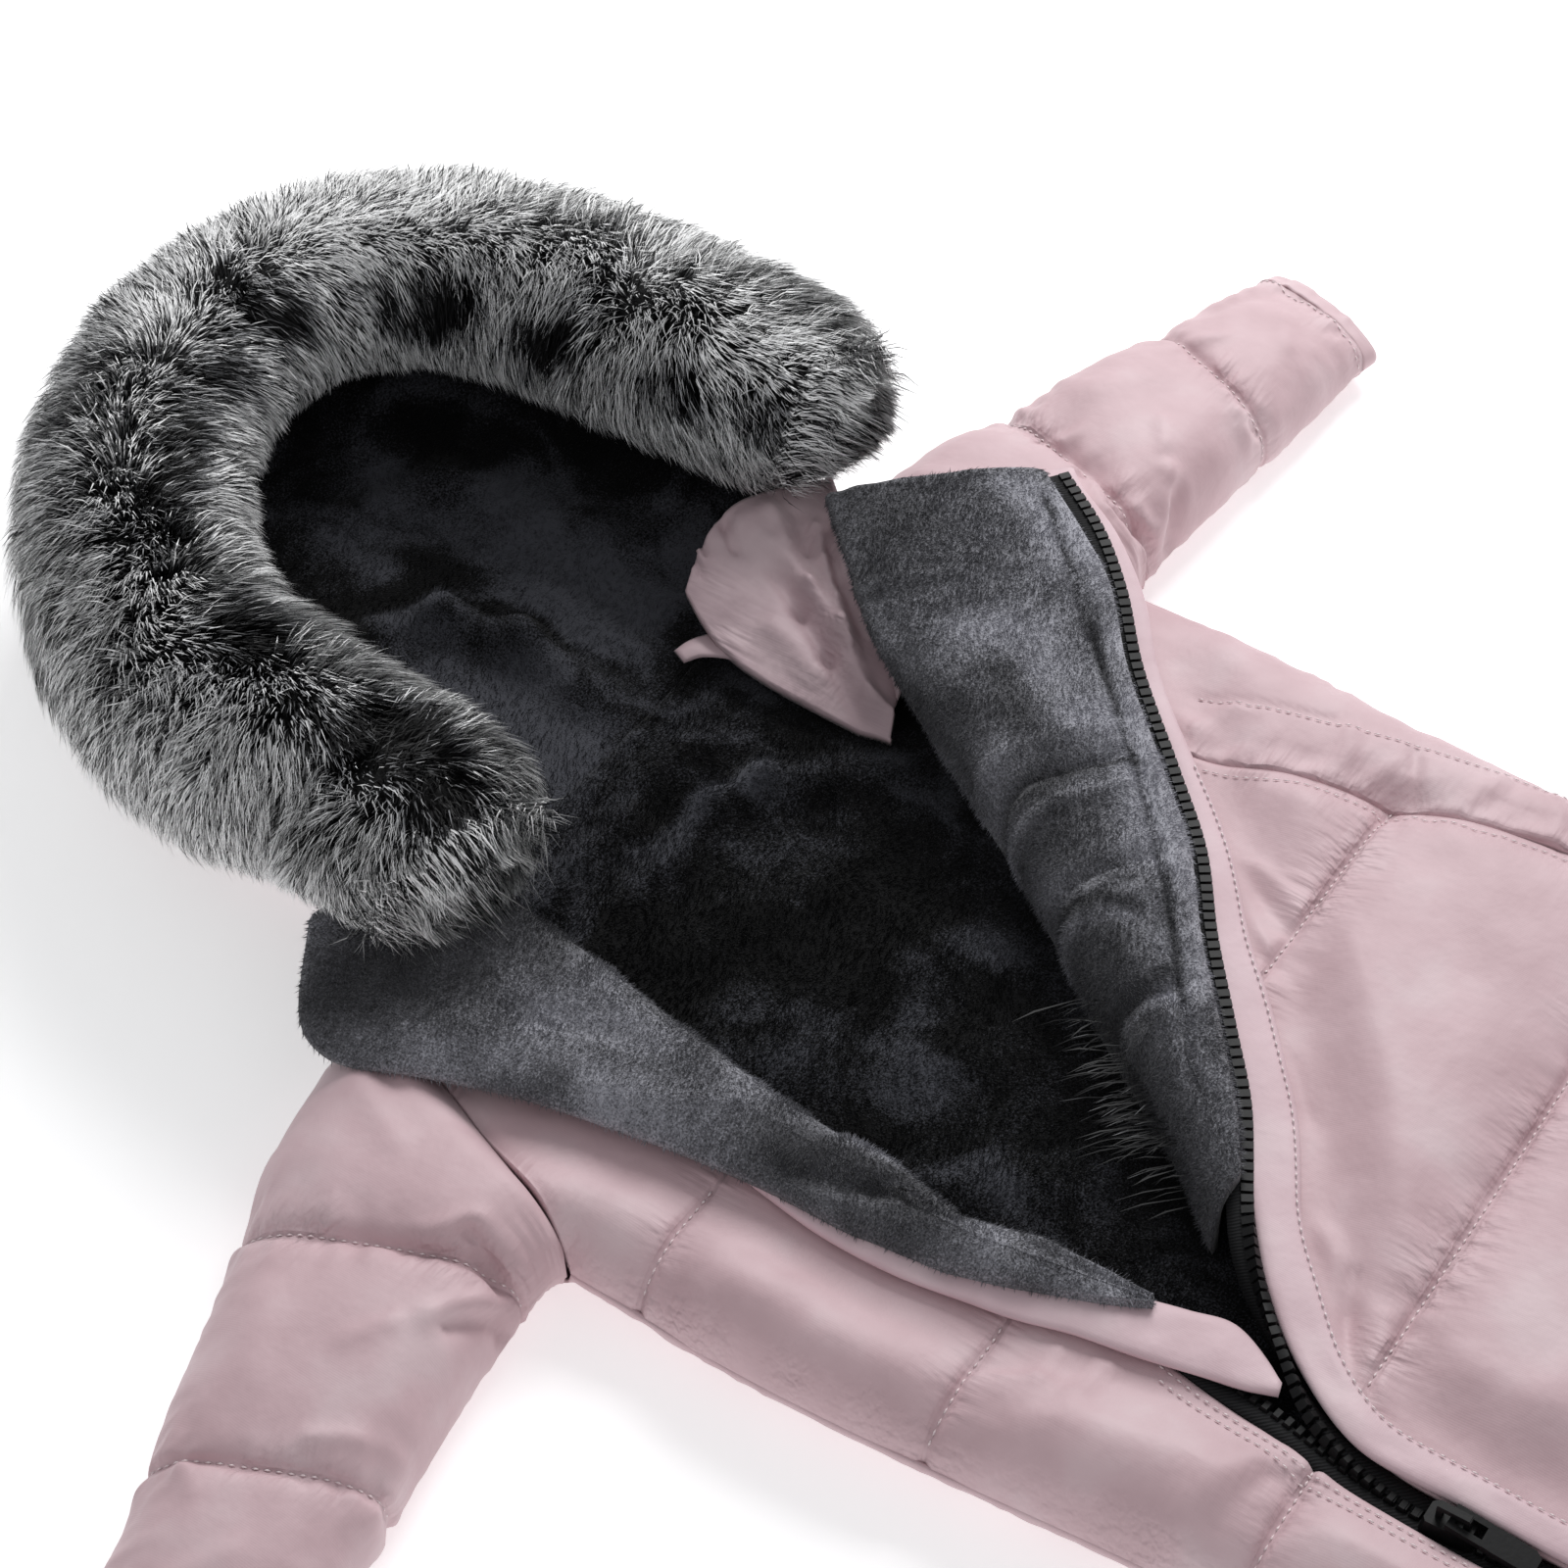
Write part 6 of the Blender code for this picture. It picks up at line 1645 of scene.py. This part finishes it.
def cuff_rows(side):
    """Rows past the sleeve's end, straight on and a little lower with each."""
    before, end = sleeve_table(side)[-2:]
    way = unit((end[:4] - before[:4]).reshape(2, 2))
    rows = np.tile(end, (CUFF_ROWS, 1))
    for row, step in zip(rows, np.linspace(SEAM_GAP, CUFF_LENGTH, CUFF_ROWS)):
        row[:4] += (way * step).ravel()
        row[4] -= CUFF_DROP * step / CUFF_LENGTH
    return rows


def sleeve_rings(table):
    """Rings of a flattened sleeve: over its top from underarm to overarm, then back under it."""
    over, under = table[:, :2], table[:, 2:4]
    top, seam = table[:, 4], table[:, 5]
    width = np.linalg.norm(over - under, axis=1)
    way = (over - under) / width[:, None]
    radius = np.minimum(EDGE_RADIUS, 0.42 * width)
    even = 0.5 - 0.5 * np.cos(np.linspace(0, math.pi, SLEEVE_TOP_STEPS))
    wide = np.linspace(0, 1, SLEEVE_TOP_STEPS)
    steps = [(s, 1) for s in 0.7 * even + 0.3 * wide]
    down = np.linspace(0, math.pi, SLEEVE_UNDER_STEPS + 2)[1:-1]
    steps += [(s, -1) for s in 0.5 + 0.5 * np.cos(down)]
    rings, shares = [], []
    for share, side in steps:
        gap = np.minimum(share, 1 - share) * width
        turn = np.clip(1 - gap / radius, 0, 1)
        rise = np.sqrt(1 - turn**2)
        plan = under + way * (share * width)[:, None]
        height = (top - seam) * rise if side > 0 else -seam * rise
        rings.append(np.column_stack([plan, seam + height]))
        shares.append(share)
    return np.array(rings), np.array(shares)[:, None] * width, width


def sleeve(name, side, seed):
    """One quilted sleeve; returns the lines on it for its quilting stitches and its hem's."""
    table = sleeve_table(side)
    places = np.linspace(0, len(table) - 1, SLEEVE_ROWS)
    table = smooth(np.column_stack([np.arange(len(table)), table]), places)
    rings, way, width = sleeve_rings(table)
    length = way_along((table[:, :2] + table[:, 2:4]) / 2)
    down = np.broadcast_to(length, rings.shape[:2])
    top_side = (np.arange(len(rings)) < SLEEVE_TOP_STEPS)[:, None]
    x, y = rings[..., 0], rings[..., 1]
    height = billows(x, y, seed) * top_side
    for quilt in SLEEVE_QUILTS:
        away = down - np.interp(quilt, places, length)
        height = height + groove(away, 1.5, 1.9) + puckers(away, way, seed + quilt, 1.5, 3.2)
    from_seam = np.minimum(way, width - way)
    height = height + puckers(from_seam, down, seed + 3, 1.0, 4.0) + groove(way, 0.9, 2.2)
    height = height + puckers(down - length[-1], way, seed + 17, 1.2, 3.6)
    height = height + creases(x, y, SLEEVE_CREASES) * top_side
    grid = raised(rings, -height, ring=True)
    grid[..., 2] += groove(down, 1.8, 3.0) * top_side
    # The allowances at the armhole and at the hem turn in and down.
    inwards = grid_normals(rings, ring=True)
    armhole = grid[:, :1] + 4 * inwards[:, :1] + np.array([-0.7, -0.2, 0])
    hem = grid[:, -1:] + 2.5 * inwards[:, -1:] + 0.2 * (grid[:, -1:] - grid[:, -2:-1])
    grid = np.concatenate([armhole, grid, hem], axis=1)
    grid[..., 2] = np.maximum(grid[..., 2], 0)
    grid = grid * np.array([side, 1, 1])
    piece = shell(f"sleeve_{name}_nylon", grid, NYLON, ring=True, inward=side > 0)
    wear(piece, "pink_nylon", f"sleeve_{name}")
    x, y = plan_of(piece)
    quilts_at = [np.abs(places - quilt).argmin() for quilt in (*SLEEVE_QUILTS, len(SLEEVE) - 1)]
    lines = [((side * e[0], e[1]), (side * e[2], e[3])) for e in table[quilts_at]]
    from_quilt = np.min([distance_to(line, x, y) for line in lines], axis=0)
    gathered(piece, np.full(len(x), FAR_OFF), from_quilt)
    return [grid[:SLEEVE_TOP_STEPS, at + 1] for at in quilts_at[:2]] + [grid[:SLEEVE_TOP_STEPS, -4]]


def cuff(name, side, seed):
    """The narrow hem band, which turns in to a flat slit at the sleeve's mouth."""
    rows = cuff_rows(side)
    rings, way, _ = sleeve_rings(rows)
    ripple = 0.7 * soft_noise(way / 4, way * 0 + np.arange(CUFF_ROWS) / 4, seed)
    band = raised(rings, -ripple, ring=True)
    mouth = band[:, -1:] + 2.2 * grid_normals(rings, ring=True)[:, -1:]
    back_in = rings[:, :1] - rings[:, -1:]
    slit = mouth + 1.4 * back_in
    slit[..., 2] = rows[-1, 5] + 0.1 * (slit[..., 2] - rows[-1, 5])
    band = np.concatenate([band, mouth, mouth + 0.8 * back_in, slit], axis=1)
    band[..., 2] = np.maximum(band[..., 2], 0)
    band = band * np.array([side, 1, 1])
    piece = shell(f"cuff_{name}_nylon", band, NYLON, ring=True, inward=side > 0, thick=1.0)
    wear(piece, "pink_nylon", f"cuff_{name}")


def sleeves():
    """Both sleeves and their cuffs; returns the stitch lines of both."""
    lines = []
    for name, side, seed in (("left", 1, 161), ("right", -1, 171)):
        lines += sleeve(name, side, seed)
        cuff(name, side, seed + 23)
    return lines


# ---------------------------------------------------------------- the scene around it

PHOTO_AZIMUTH = math.radians(-57)
PHOTO_ELEVATION = math.radians(46)
CAMERA_DISTANCE = 1.3
LENS, SENSOR = 87.75, 36
PICTURE_CENTRE = Vector((0.046, 0.066, 0.0))
LIT_SPOT = Vector((0.05, 0.0, 0.03))
FLOOR_HALF, FLOOR_Z = 3e4, -0.4


def photo_camera():
    """The camera at the photo's angle, with a long lens and no tilt."""
    level = math.cos(PHOTO_ELEVATION)
    look = Vector((
        -math.sin(PHOTO_AZIMUTH) * level, math.cos(PHOTO_AZIMUTH) * level, -math.sin(PHOTO_ELEVATION),
    ))
    lens = bpy.data.cameras.new("photo_camera")
    lens.lens = LENS
    lens.sensor_width = SENSOR
    lens.clip_end = 20
    camera = bpy.data.objects.new("photo_camera", lens)
    camera.location = PICTURE_CENTRE - CAMERA_DISTANCE * look
    camera.rotation_euler = look.to_track_quat("-Z", "Y").to_euler()
    bpy.context.scene.collection.objects.link(camera)
    bpy.context.scene.camera = camera


def soft_light(name, place, size, power):
    light = bpy.data.lights.new(name, "AREA")
    light.size = size
    light.energy = power
    lamp = bpy.data.objects.new(name, light)
    lamp.location = place
    lamp.rotation_euler = (LIT_SPOT - Vector(place)).to_track_quat("-Z", "Y").to_euler()
    bpy.context.scene.collection.objects.link(lamp)


def studio():
    """A pale floor, one large soft light beyond the wearer's left side, and a weak one in front."""
    bpy.context.scene.view_settings.view_transform = "Standard"
    paper, _, shader = new_material("studio_floor_paper", 0.9, "FAFAFA")
    shader.inputs["Emission Color"].default_value = linear("FFFFFF")
    shader.inputs["Emission Strength"].default_value = 0.42
    corners = [(a * FLOOR_HALF, b * FLOOR_HALF, FLOOR_Z) for a, b in ((-1, -1), (1, -1), (1, 1), (-1, 1))]
    floor = new_piece("studio_floor", corners, [(0, 1, 2, 3)], paper)
    soft_light("key_light", (1.4, 0.4, 1.3), 1.1, 31)
    soft_light("fill_light", (-1.3, -0.9, 1.3), 1.6, 2.5)
    world = bpy.data.worlds.new("studio_air")
    bpy.context.scene.world = world
    world.use_nodes = True
    sky = world.node_tree.nodes["Background"]
    sky.inputs["Color"].default_value = linear("F4F5F8")
    sky.inputs["Strength"].default_value = 0.46


photo_camera()
studio()
front_grids = fronts()
back()
lining_grid, lining_open = back_lining()
facing_grids = facings()
placket_rings = plackets()
right_tape_edge = zip_tapes()
zip_teeth(teeth_lines(right_tape_edge))
neck_guard()
guard_tab()
hood_bowl = hood()
fur()
sleeve_lines = sleeves()
all_fibres(facing_grids, lining_grid, lining_open, hood_bowl)
sewing(front_grids, placket_rings, sleeve_lines)
for node in ("zip_slider", "pull_tab"):
    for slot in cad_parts[node].material_slots:
        slot.material = ACETAL
